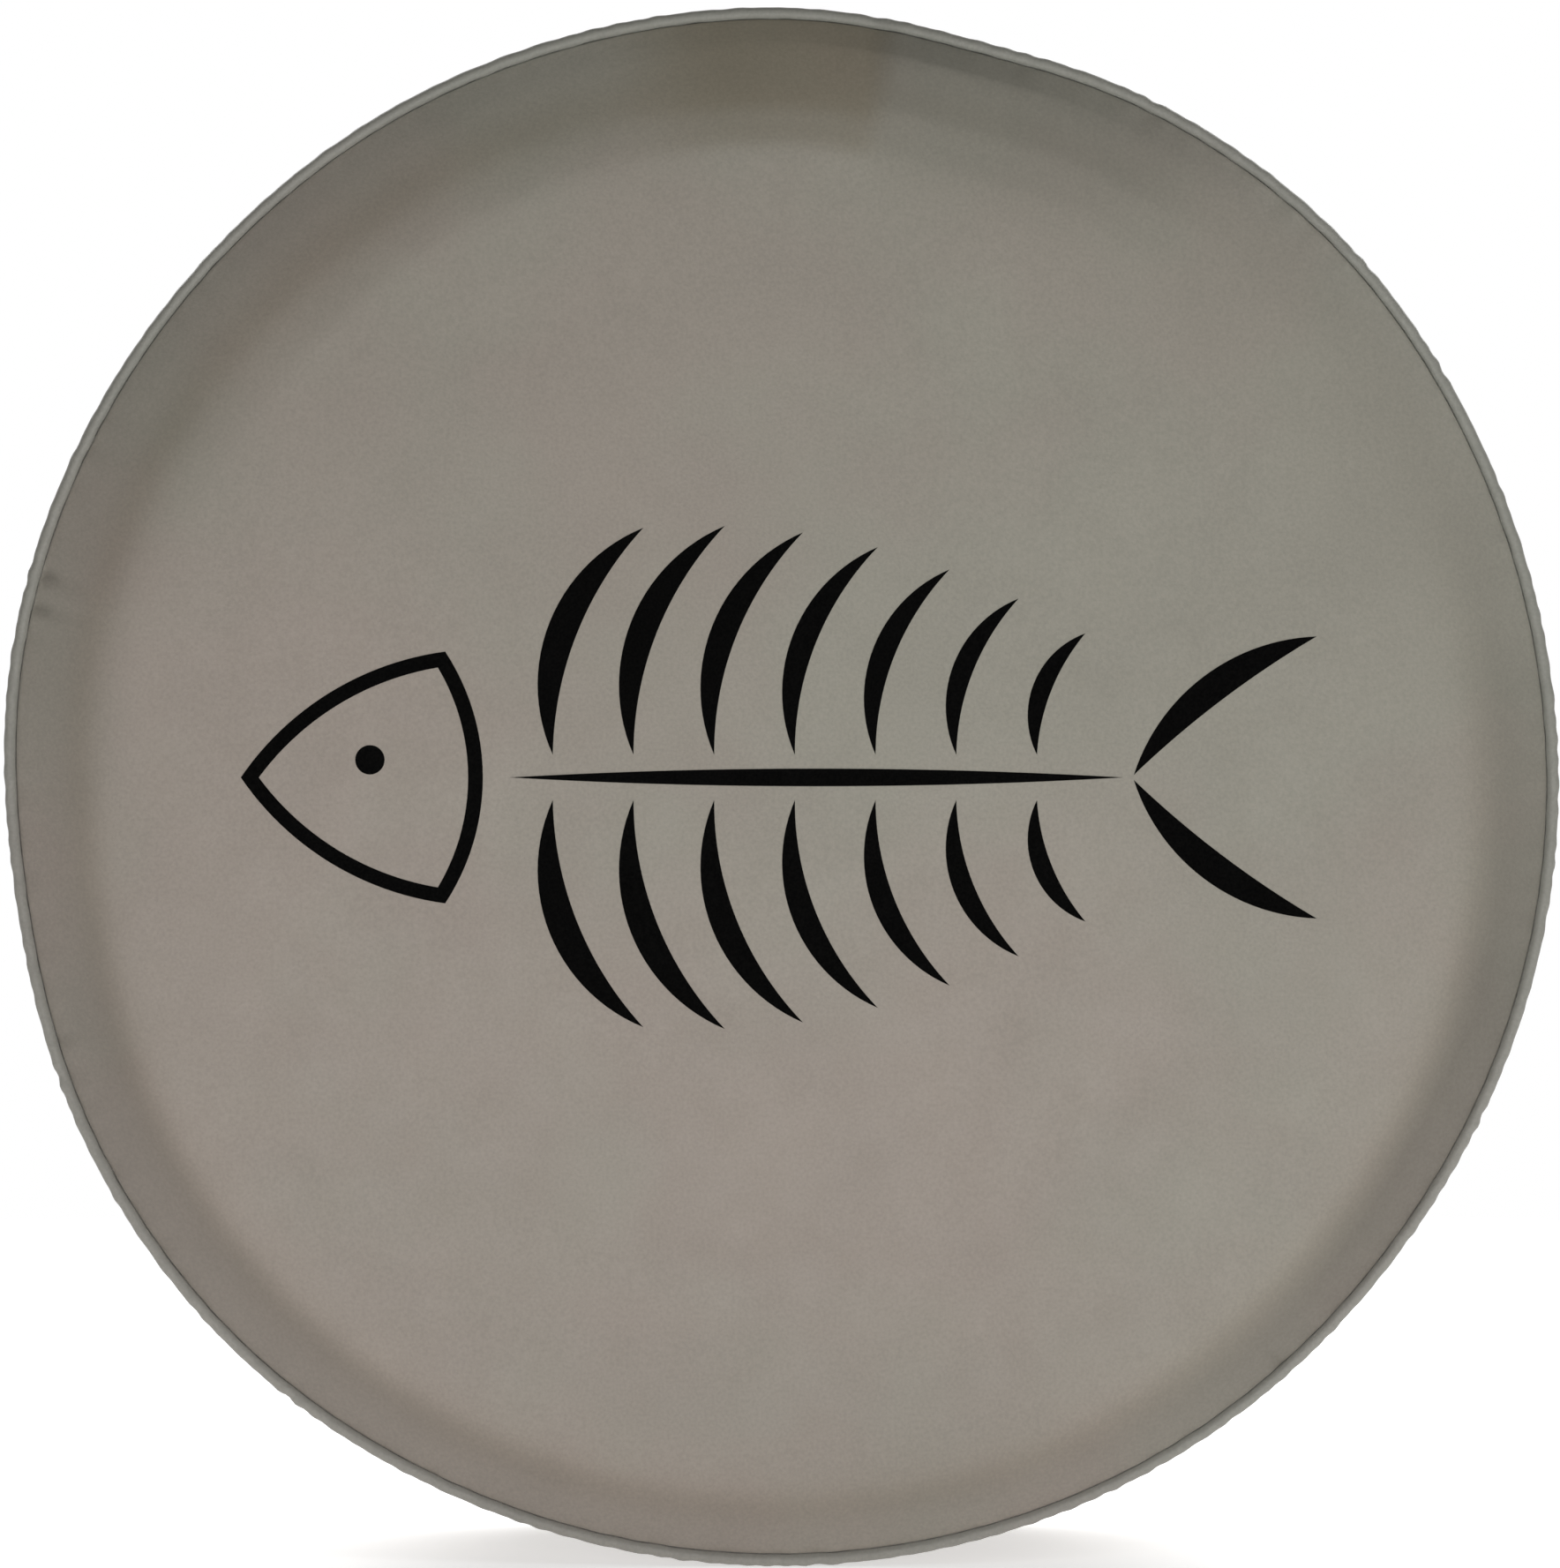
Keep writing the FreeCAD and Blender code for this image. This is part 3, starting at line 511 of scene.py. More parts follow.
def settle_band():
    """How a coarse band moves as it settles, with the distances of its rows along the section."""
    columns = 520
    places = np.concatenate([np.linspace(0, 175 * MM, 15), np.linspace(180 * MM, BAND_LENGTH, 28)])
    angle, place = np.meshgrid(turn_angles(columns), places)
    rest = spin(BAND_R + 0 * place, SEAM_Y + place, angle)
    form = lift(band_points(place, angle), place, angle, -2.2 * MM + 0 * place)[::2, ::4]
    held = [*range(columns), *range(place.size - columns, place.size)]
    return places, settle("band_cloth", unsettled(place, angle), rest, held, form, 16, 30, 1.5, 0.0, 4.5 * MM)


BAND_SETTLED = settle_band()


def settle_face():
    """How a coarse face moves as it settles on the tyre, with the radii of its rows."""
    columns = 240
    radii = np.linspace(12 * MM, FACE_EDGE.x, 40)
    angle, radius = np.meshgrid(turn_angles(columns), radii)
    start = face_points(radius, angle)
    rest = start * np.array([1.002, 1, 1.002])
    held = list(range(radius.size - columns, radius.size))
    return radii, settle("face_cloth", start, rest, held, start + BEHIND * 1.6 * MM, 14, 25, 4.0, 0.3, 2.2 * MM)


# Panels


def disc_faces(counts):
    """Faces of rings round a middle point. A ring has as many points as the one inside it, or four times."""
    faces = [[0, 1 + j, 1 + (j + 1) % counts[0]] for j in range(counts[0])]
    first = 1
    for inner, outer in zip(counts, counts[1:]):
        share, on = outer // inner, first + inner
        for j in range(inner):
            ends = [first + (j + 1) % inner, first + j]
            faces.append(ends + [on + (j * share + k) % outer for k in range(share + 1)])
        first = on
    return faces


def face_stains(radius, angle):
    """How far the face's slope is painted browner with painted shade, darker with painted shade alone, and paler
    with painted light, each from 0 to 1.
    """
    left, past, reach = upper_left(angle), (radius - first_bend(angle)) / MM, radius / MM
    beside = 1 - ease((from_join(angle) - 14) / 12)
    tiers = 0.55 * ease((reach - 300) / 12) + 0.45 * ease((reach - 318) / 10)
    # A browner, darker ring just past the first bend, partly painted shade. On the upper left: painted shade in
    # two tiers beside the join, and a fainter ring at about 333 mm away from the join.
    brown = 0.3 * (1 - left) * (1 - about(angle, 38, 50)) * bell((past - 11) / 8)
    brown = brown + left * (beside * tiers + (1 - beside) * 0.4 * bell((reach - 333) / 13))
    # Painted shade on the slope: most on the lower left and lower right, a little all along the bottom, none on
    # the upper left.
    dull = (0.65 * about(angle, 220, 42) + 0.07 * np.clip(-np.sin(angle), 0, 1)) * ease(past / 17)
    dull = (dull + 1.06 * about(angle, 331, 37) * ease(past / 25)) * (1 - left)
    # Painted shade in two tiers on the upper right up to the join, and a painted shadow line at the seam beside
    # the join.
    right = ease((from_join(angle) + 32) / 14) * (1 - ease((from_join(angle) - 0.2) / 3))
    dull = dull + right * (0.22 * ease((reach - 302) / 12) + 0.2 * ease((reach - 326) / 6))
    dull = dull + 0.42 * about(angle, 78, 12) * ease((reach - 354.5) / 3)
    # Painted shade in the creases where vinyl is caught in the seam.
    for middle, length, deep in CAUGHT:
        across = (angle - math.radians(middle)) * reach / 2.6
        dull = dull + 0.16 * deep * bell(across) * ease((reach - 366 + length) / 6)
    # Paler and cooler on the outer slope, and painted light on the fold into the seam, where the groove is
    # shaded.
    dust = 0.16 * ease((reach - 348) / 16) + 0.84 * ease(reach - FACE_EDGE.x / MM - 0.2)
    return {"brown": brown, "dull": dull, "dust": dust}


def make_face(radii, moved):
    """The face panel: rings that get closer towards the seam, a fold there, and its allowance turned in."""

    def settled(radius, angle):
        return face_points(radius, angle) + smooth_sample(radii, moved, radius, angle)

    rings = []
    for count, radii_mm in ((45, range(20, 61, 20)), (180, range(80, 289, 16))):
        angle = turn_angles(count)
        for radius in np.array(radii_mm) * MM:
            rings.append(settled(radius, angle) - BEHIND * face_relief(radius, angle)[:, None])
    fine = np.concatenate([np.linspace(294 * MM, 348 * MM, 19), np.linspace(350 * MM, FACE_EDGE.x, 13)])
    angle, radius = np.meshgrid(turn_angles(720), fine)
    near = settled(radius, angle)
    near = near + grid_normals(near, True) * face_relief(radius, angle)[..., None]
    angle = turn_angles(720)
    last = near[-1] - face_points(FACE_EDGE.x, angle)
    fold = roll_rows(angle, FACE_ROLL, FACE_BEND, -90 + math.degrees(FACE_TILT), 56, 6, last)
    allowance = seam_grid(angle, [(along * MM, STRIP) for along in (2.6, 5.5, 8.6)] + [(ALLOWANCE, STRIP)])
    skin = np.concatenate([near, fold, allowance])
    outside = rings + list(skin)
    inside = [ring + BEHIND * VINYL for ring in rings] + list(skin - grid_normals(skin, True) * VINYL)
    sides = [np.concatenate([[side[0].mean(axis=0)], *side]) for side in (outside, inside)]
    item = closed_sheet("face_panel_sewn", disc_faces([len(ring) for ring in outside]), *sides)
    x, _, z = np.array([v.co for v in item.data.vertices]).T
    angle = np.arctan2(z, x) % TURN
    for stain, values in face_stains(np.hypot(x, z) - rim_shift(angle), angle).items():
        paint(item, stain, values)
    return item


def join_relief(away):
    """Heights beside a join, by the distance to it: the valley, the allowances' bulk and the sewn row."""
    valley = -1.3 * bell(away / (1.1 * MM))
    bulk = 0.75 * bell((away - 6.5 * MM) / (5.5 * MM))
    row = -0.22 * bell((away - JOIN_ROW) / (0.8 * MM))
    return (valley + bulk + row) * MM


def crowded(spots, middles, reach, step):
    """Sorted spots, with closer ones round some middles."""
    spots = [s for s in spots if all(abs(s - m) > reach for m in middles)]
    for middle in middles:
        spots += list(np.arange(middle - reach, middle + reach + step / 2, step))
    return np.array(sorted(spots))


def band_columns(start, end):
    """Angles across a panel, closer together beside its joins and round the drains."""
    fine = np.array([0, 0.5, 1.0, 1.6, 2.4, 3.2, 4.0, 4.8, 5.8, 7.2, 9, 11, 13]) * MM / BAND_R
    body = np.linspace(start + fine[-1], end - fine[-1], int((end - start) / TURN * 680))[1:-1]
    drains = [a - TURN * (a > end) for a in DRAIN_ANGLES]
    drains = [a for a in drains if start < a < end]
    body = crowded(body, drains, 9 * MM / BAND_R, 1.2 * MM / BAND_R)
    return np.concatenate([start + fine, body, (end - fine)[::-1]])


DRAIN_PLACE = -BAND_ROLL.y
BAND_ROWS = [r * MM for r in (0, 1.2, 2.6, 4.4, 6.6, 9.5, 13, 18, 24)]
BAND_ROWS += list(np.arange(31 * MM, 186 * MM, 7.5 * MM))
BAND_ROWS += list(np.arange(188 * MM, BAND_LENGTH - 20 * MM, 2.6 * MM))
BAND_ROWS += list(np.linspace(BAND_LENGTH - 19 * MM, BAND_LENGTH, 10))
BAND_ROWS = crowded(BAND_ROWS, [DRAIN_PLACE], 9 * MM, 1.2 * MM)


def band_skin(place, angle):
    """The band's outside as it settled, before its joins are put in."""
    still = calm(angle, 4)
    ends = ease(place / (20 * MM)) * ease((BAND_LENGTH - place) / (16 * MM)) * still
    shift = smooth_sample(*BAND_SETTLED, place, angle) * ends[..., None]
    pucker = 0.45 * seam_pucker(angle) * np.exp(-place / (9 * MM))
    slow = 0.7 * np.sin(9 * angle + 14 * place + 1) * np.sin(38 * place + 3 * angle)
    drag = 0.8 * waves(angle, (31, 0.5, 0.3), (43, 0.4, 1.9), (58, 0.35, 4.1)) * np.exp(-place / (45 * MM))
    height = (pucker + (slow + drag) * ease(place / (30 * MM))) * still * MM
    return lift(unsettled(place, angle) + shift, place, angle, height)


def make_band(name, start, end, holes=()):
    """A panel of the band, with its front allowance turned in and valleys at its joins."""
    columns = band_columns(start, end)
    angle, place = np.meshgrid(columns, BAND_ROWS)
    away = np.minimum(angle - start, end - angle) * BAND_R
    skin = lift(band_skin(place, angle), place, angle, join_relief(away))
    fold = roll_rows(columns, BAND_ROLL, BAND_BEND, 0, -124, 5, skin[0] - band_points(0 * columns, columns))
    allowance = seam_grid(columns, [(along * MM, -STRIP) for along in (4.2, 6.5, 9)] + [(ALLOWANCE, -STRIP)])
    skin = np.concatenate([allowance[::-1], fold[::-1], skin])
    return thin_solid(name, skin, skin - grid_normals(skin, False) * VINYL, holes)


def skirt_at(radius, angle):
    """The skirt's outside near the hem, carried on straight inside its edge."""
    place = np.minimum(BAND_LENGTH - (radius - HEM_R), BAND_LENGTH) + 0 * angle
    beyond = min(radius - HEM_R, 0)
    return band_skin(place, angle) + outward(angle) * beyond


def hem_ridges(angle):
    """The scrunch that the elastic draws in its casing, from 0 to 1, about 8 mm from one to the next."""
    ridges = waves(angle, (226, 0.34, 0.2), (187, 0.26, 1.3), (263, 0.24, 2.9), (301, 0.16, 0.8))
    return (0.5 + 0.5 * ridges) * (1 - 0.7 * near_any(angle, TAB_ANGLES, 3.2))


def make_casing():
    """The casing: a strip folded round the elastic and puckered by it, lapped over the skirt's edge."""
    angle = turn_angles(1260)
    ridges = hem_ridges(angle)
    wander = skirt_at(HEM_R, angle)[:, 1] - SKIRT_Y
    middle_y = HEM_Y + 0.4 * wander
    gap = 0.12 * MM
    laps = np.linspace(LAP_R, CASING_MIDDLE + 5.4 * MM, 6)
    near = laps[-1]

    def lap(radius, height, swell):
        return skirt_at(radius, angle) + BEHIND * (height + swell * ridges)[:, None]

    def tube(radius, first, last, count, swell):
        reach = radius + swell * ridges
        ways = directions(first, last, count)
        return [spin(CASING_MIDDLE + reach * way.x, middle_y + reach * way.y, angle) for way in ways]

    rows = [lap(r, VINYL + gap, 0.5 * MM) for r in laps]
    rows += tube(CASING_R, 24, 336, 17, 0.85 * MM)
    rows += [lap(r, -2 * VINYL - gap, -0.4 * MM) for r in laps[::-1]]
    rows += [lap(LAP_R, -VINYL - gap, -0.2 * MM), lap(near, -VINYL - gap, 0)]
    rows += tube(CASING_R - VINYL, 330, 30, 11, 0.2 * MM)
    rows += [lap(near, gap, 0), lap(LAP_R, gap, 0.2 * MM)]
    return swept_ring("hem_casing_sewn", np.stack(rows))


def make_elastic():
    """The braided elastic in the casing: its ribs run round it at a slant."""
    angle, turn = turn_angles(1440), turn_angles(14)[:, None]
    ribs = np.sin(420 * angle + 2 * turn) + np.sin(420 * angle - 2 * turn)
    reach = ELASTIC - 0.1 * MM + 0.06 * MM * ribs
    section = spin(CASING_MIDDLE + reach * np.cos(turn), HEM_Y + reach * np.sin(turn), angle)
    return swept_ring("elastic_braid", section)


def bead_spots(radius, first, last, count):
    """Spots round the piping's middle, as (along, aside) in the seam's section."""
    return [(radius * way.x - BEAD, radius * way.y) for way in directions(first, last, count)]


def piping_sway(angle):
    """How the whole piping wanders off its line."""
    hug = 0.12 * MM * seam_pucker(angle)
    side = 0.2 * MM * waves(angle, (121, 0.5, 1.9), (97, 0.4, 0.3), (41, 0.5, 2.2))
    return outward(angle) * hug[:, None] + BEHIND * side[:, None]


def piping_knobs(angle):
    """Small bumps on the outside of the piping in millimetres, few on the upper left and more elsewhere."""
    bumps = waves(angle, (233, 0.4, 0.4), (197, 0.35, 2.1), (271, 0.25, 4.0), (163, 0.25, 1.2))
    uneven = 1 + 0.6 * waves(angle, (11, 0.6, 1.0), (17, 0.5, 3.0))
    return 0.32 * bumps * uneven * (1 - 0.75 * about(angle, 120, 40))


def make_welt():
    """The piping: a strip folded round the cord, that swells between the stitches, with its edges in the seam."""
    angle = turn_angles(1080)
    runs, slack = [4 * MM, 8 * MM, ALLOWANCE], 0.05 * MM
    seen = bead_spots(BEAD, 15, 345, 22)
    spots = seen + [(a, slack - STRIP) for a in runs] + [(a, -slack) for a in runs[::-1]]
    spots += bead_spots(CORD + 0.1 * MM, 358, 2, 14)
    spots += [(a, slack) for a in runs] + [(a, STRIP - slack) for a in runs[::-1]]
    grid = seam_grid(angle, spots)
    middle = seam_grid(angle, [(-BEAD, 0)])
    swell = 0.03 * waves(angle, (121, 0.6, 0.4), (167, 0.5, 1.0), (211, 0.4, 2.0))
    grid[: len(seen)] = middle + (grid[: len(seen)] - middle) * (1 + swell)[:, None]
    along = np.array(spots)[:, :1, None]
    out, loose = np.clip(-along / (2 * BEAD), 0, 1) ** 2, np.exp(-np.clip(along, 0, None) / (2 * MM))
    knobs = outward(angle) * (piping_knobs(angle) * MM)[:, None]
    item = swept_ring("piping_cover", grid + out * knobs + loose * piping_sway(angle), 60)
    around = np.full(len(spots), 360.0)
    around[: len(seen)] = np.linspace(15, 345, len(seen))
    # Painted shade on the piping's front side towards the face, fading out towards the top, and painted light on
    # its side down in the groove beside the face.
    dull = np.outer(bell((around - 100) / 30), 0.38 * ease((0.35 - np.sin(angle)) / 0.5))
    paint(item, "dull", dull)
    paint(item, "dust", np.repeat(bell((around - 20) / 28), len(angle)))
    return item


def make_cord():
    """The cord inside the piping, with a slight twist."""
    angle = turn_angles(1080)
    grid = seam_grid(angle, bead_spots(CORD, 0, 330, 12))
    middle = seam_grid(angle, [(-BEAD, 0)])
    twist = 1 - 0.05 * np.cos(3 * turn_angles(12)[:, None] + 330 * angle) ** 2
    return swept_ring("piping_cord", middle + (grid - middle) * twist[..., None] + piping_sway(angle))


def make_binding():
    """Tape folded over the raw edges of the seam."""
    angle = turn_angles(900)
    stack, tape = STRIP + VINYL + 0.1 * MM, 0.5 * MM
    runs, laid = (7, 8.5, 10, 11.4), (7, 8.5, 10, 11.5)
    spots = [(a * MM, stack) for a in runs] + [(12 * MM, stack - tape), (12 * MM, tape - stack)]
    spots += [(a * MM, -stack) for a in runs[::-1]] + [(a * MM, -stack - tape) for a in laid]
    spots += [(12.5 * MM, -stack), (12.5 * MM, stack)] + [(a * MM, stack + tape) for a in laid[::-1]]
    wave = 0.18 * MM * waves(angle, (150, 0.5, 0.3), (211, 0.5, 1.0), (89, 0.5, 2.0))
    return swept_ring("seam_binding_sewn", seam_grid(angle, spots) + outward(angle) * wave[:, None])


def strip_behind(name, place, angle, height, thick):
    """A thin sheet that follows the band at a height over its outside."""
    skin = band_skin(place, angle)
    return thin_solid(name, *(lift(skin, place, angle, top) for top in (height, height - thick)))


def make_join_tape(name, middle):
    """Tape behind a join of the band, over its pressed-open edges."""
    half = 13.2 * MM / BAND_R
    places = [np.linspace(14 * MM, 190 * MM, 36), np.linspace(193 * MM, BAND_LENGTH - 14 * MM, 24)]
    angle, place = np.meshgrid(np.linspace(middle - half, middle + half, 15), np.concatenate(places))
    away = np.abs(angle - middle) * BAND_R
    deep = VINYL + 0.15 * MM + 1.35 * MM * bell(away / (3 * MM))
    height = 0.12 * MM * np.sin(place / (2.9 * MM) + 9 * angle) - deep
    return strip_behind(name, place, angle, height, 0.6 * MM)


def make_label():
    """A blank cloth label: caught in the seam's binding, hanging loose along the wall."""
    first, last = LABEL_ANGLES
    angle, place = np.meshgrid(np.linspace(first, last, 19), np.linspace(6 * MM, 50 * MM, 28))
    share, across = (place - 6 * MM) / (44 * MM), (angle - first) / (last - first)
    off = VINYL + 0.25 * MM + 1.6 * MM * share**2 * (1 + 0.5 * np.cos(2.6 * across + 0.4))
    return strip_behind("care_label_cloth", place, angle, -off, 0.35 * MM)


# Lock tabs


def within(spots, outlines):
    """Which flat spots have an odd number of outlines round them, by how far each one turns about a spot."""
    odd = np.zeros(len(spots), bool)
    for outline in outlines:
        away = np.array(outline) @ (1, 1j) - (spots @ (1, 1j))[:, None]
        odd ^= abs(np.angle(np.roll(away, -1, axis=1) / away).sum(axis=1)) > 1
    return odd


def flat_triangles(outlines, step):
    """Triangles that fill outlines and leave their holes open, with points in between as well."""
    points, edges = [], []
    for outline in outlines:
        first, count = len(points), len(outline)
        points += [Vector(p) for p in outline]
        edges += [(first + i, first + (i + 1) % count) for i in range(count)]
    ring = np.array(points)
    low, high = ring.min(axis=0) + step / 2, ring.max(axis=0)
    x, y = np.meshgrid(np.arange(low[0], high[0], step), np.arange(low[1], high[1], step))
    spots = np.stack([x.ravel(), y.ravel()], axis=1)
    clear = np.linalg.norm(spots[:, None] - ring, axis=2).min(axis=1) > 0.55 * step
    made, _, faces, *_ = delaunay_2d_cdt(points + [Vector(p) for p in spots[clear]], edges, [], 1, 1e-7)
    kept = within(np.array(made)[np.array(faces)].mean(axis=1), outlines)
    return made, [face for face, keep in zip(faces, kept) if keep]


def film(name, outlines, step, bottom, top):
    """A closed thin solid with flat outlines. bottom and top turn a flat point into a point in space."""
    points, faces = flat_triangles(outlines, step)
    top, bottom = (np.array([tuple(side(p)) for p in points]) for side in (top, bottom))
    return closed_sheet(name, faces, top, bottom, lined=False, smooth_to=40)


def make_tab(name, middle):
    """A double vinyl tab, stepped over the casing's tube, with a round end and a hole for its eyelet."""
    root, tip, half, thick = 312 * MM, 257 * MM, 13 * MM, 1.2 * MM
    sewn, free = TAB_LOW.y, TAB_HIGH.y - thick
    edge = CASING_MIDDLE + CASING_R
    corners = [(root, sewn, 0), (edge + 5 * MM, sewn, 6 * MM), (edge + 0.2 * MM, free, 6 * MM), (tip, free, 0)]
    runs, line = section_path(corners)
    out, along = outward(np.array(middle)), around_direction(np.array(middle))

    def spot(p, above):
        radius, y = (np.interp(root - p[0], runs, line[:, i]) for i in (0, 1))
        pressed = 0.25 * MM * max(abs(p[1]) / half - 0.82, 0) / 0.18
        return out * radius - along * p[1] + BEHIND * (y + above - (pressed if above else -pressed))

    end = root - runs[-1]
    side = [(root, half - 2.2 * MM), (root - 0.4 * MM, half - 1 * MM), (root - 1.8 * MM, half)]
    side += [(r, half) for r in np.linspace(root - 4 * MM, end + half, 16)]
    outline = side + [(end + half + half * way.x, half * way.y) for way in directions(99, 261, 19)]
    outline += [(r, -across) for r, across in side[::-1]]
    eyelet = LOCK_R - tip + end
    hole = [(eyelet + LOCK_HOLE * math.cos(turn), -LOCK_HOLE * math.sin(turn)) for turn in turn_angles(28)]
    return film(name, [outline, hole], 2 * MM, lambda p: spot(p, 0), lambda p: spot(p, thick))


# Stitches


def make_stitches(name, rows):
    """One mesh of short lengths of thread. Each row is (middles, directions along, directions up)."""
    rings, around = 5, 6
    turn, t = turn_angles(around)[:, None], np.linspace(-1, 1, rings)[:, None, None]
    thick = THREAD * (1 - 0.55 * t**4)
    parts = []
    for middles, along, up in rows:
        along, up = (np.broadcast_to(way, middles.shape)[:, None, None] for way in (along, up))
        height = 0.16 * MM - 0.34 * MM * t**4 + thick * np.cos(turn)
        line = middles[:, None, None] + along * (1.85 * MM * t)
        parts.append(line + up * height + np.cross(up, along) * (thick * np.sin(turn)))
    points = np.concatenate(parts).reshape(-1, 3)
    ends = [list(range(around)), list(range(rings * around - 1, (rings - 1) * around - 1, -1))]
    one = grid_faces(rings, around, True) + ends
    starts = range(0, len(points), rings * around)
    return new_object(name, points, [[first + v for v in face] for first in starts for face in one])


def around_direction(angle):
    return np.stack([-np.sin(angle), 0 * angle, np.cos(angle)], axis=-1)


def ring_of(radius):
    """Angles of a whole row of stitches."""
    return turn_angles(int(TURN * radius / STITCH))


def hem_rows():
    for radius in (HEM_R + 2.5 * MM, HEM_R + 7.5 * MM):
        angle = ring_of(radius)
        swell = 0.5 * MM * hem_ridges(angle)
        points = skirt_at(radius, angle) + BEHIND * (VINYL + 0.1 * MM + swell)[:, None]
        yield points, around_direction(angle), BEHIND


def seam_rows():
    angle = ring_of(SEAM_ROW_R)
    points = seam_grid(angle, [(ALLOWANCE - 2.2 * MM, -STRIP - VINYL - 0.6 * MM)])[0]
    yield points, around_direction(angle), outward(angle) * -SEAM_ASIDE.x - BEHIND * SEAM_ASIDE.y


def join_rows():
    place = np.arange(9 * MM, 172 * MM, STITCH)
    for join in JOINS:
        for away in (-JOIN_ROW, JOIN_ROW):
            angle = join + away / BAND_R + 0 * place
            points = lift(band_skin(place, angle), place, angle, join_relief(JOIN_ROW) + 0 * place)
            yield points, BEHIND, outward(angle)


def tab_rows():
    aside = (np.arange(5) - 2) * STITCH
    for middle in np.array(TAB_ANGLES):
        out, along = outward(middle), around_direction(middle)
        for radius in (309 * MM, 303 * MM):
            points = out * radius + along * aside[:, None] + BEHIND * (TAB_LOW.y + 1.2 * MM)
            yield points, along, BEHIND


# The printed fish bone: plain blades on both sides of a spine, in the print's own half lengths


HALF = (PRINT_HIGH.x - PRINT_LOW.x) / 2
TALL = (PRINT_HIGH.z - PRINT_LOW.z) / 2
PRINT_Z = (PRINT_HIGH.z + PRINT_LOW.z) / 2


def at(u, v):
    return Vector((u * HALF, v * TALL + PRINT_Z))


def blade(root, tip, bow, width):
    """A curved blade with two points: both edges bow to one side, one of them further."""
    middle, run = (root + tip) / 2, (tip - root).normalized()
    across = Vector((-run.y, run.x))
    near, far = middle + across * (bow - width / 2), middle + across * (bow + width / 2)
    return arc(root, near, tip, 26) + arc(tip, far, root, 26)


def inset(outline, distance):
    """An outline moved inwards, with its corners kept."""
    moved = []
    for before, here, after in zip(outline[-1:] + outline, outline, outline[1:] + outline[:1]):
        a, b = (here - before).normalized(), (after - here).normalized()
        normal = Vector((-a.y - b.y, a.x + b.x)).normalized()
        cosine = max(0.35, abs(normal.dot(Vector((-a.y, a.x)))))
        moved.append(here + normal * (distance / cosine))
    return moved


def ink_outlines():
    """The closed outlines of the islands of ink, each with the holes in it."""
    nose, brow, jaw = at(-1, 0), at(-0.62, 0.5), at(-0.62, -0.5)
    head = arc(nose, at(-0.84, -0.33), jaw, 24) + arc(jaw, at(-0.55, 0), brow, 24)
    head += arc(brow, at(-0.84, 0.33), nose, 24)
    line = 7 * MM
    islands = [[head, inset(head, line)], [[at(-0.76, 0.07) + way * line for way in directions(0, 360, 33)[:-1]]]]
    for side in (1, -1):
        islands.append([blade(at(0.66, side * 0.01), at(1, side * 0.56), side * 0.04 * HALF, 0.055 * HALF)])
    tail, neck = at(0.64, 0), at(-0.5, 0)
    islands.append([arc(neck, at(0.1, -0.035), tail, 40) + arc(tail, at(0.1, 0.035), neck, 40)])
    for share in np.linspace(0, 1, 7):
        foot, height, width = -0.42 + 0.9 * share, math.cos(1.15 * (share - 0.12)), (0.055 - 0.02 * share) * HALF
        for side in (1, -1):
            tip = at(foot + 0.17 * height, side * (0.09 + 0.91 * height))
            islands.append([blade(at(foot, side * 0.09), tip, side * 0.07 * HALF * height, width)])
    return islands


def make_print(face):
    """The ink film, laid on the face as it settled."""
    tree = BVHTree.FromObject(face, bpy.context.evaluated_depsgraph_get())

    def lay(p, height):
        hit = tree.ray_cast(Vector((p[0], FACE_Y - 0.05, p[1])), Vector((0, 1, 0)))[0]
        return p[0], hit.y - height, p[1]

    parts = [
        film(f"ink_{number}", outlines, 4 * MM, lambda p: lay(p, -0.04 * MM), lambda p: lay(p, 0.14 * MM))
        for number, outlines in enumerate(ink_outlines())
    ]
    whole = parts[0]
    with bpy.context.temp_override(active_object=whole, selected_editable_objects=parts):
        bpy.ops.object.join()
    whole.name = whole.data.name = "fish_ink"
    return whole


# Materials


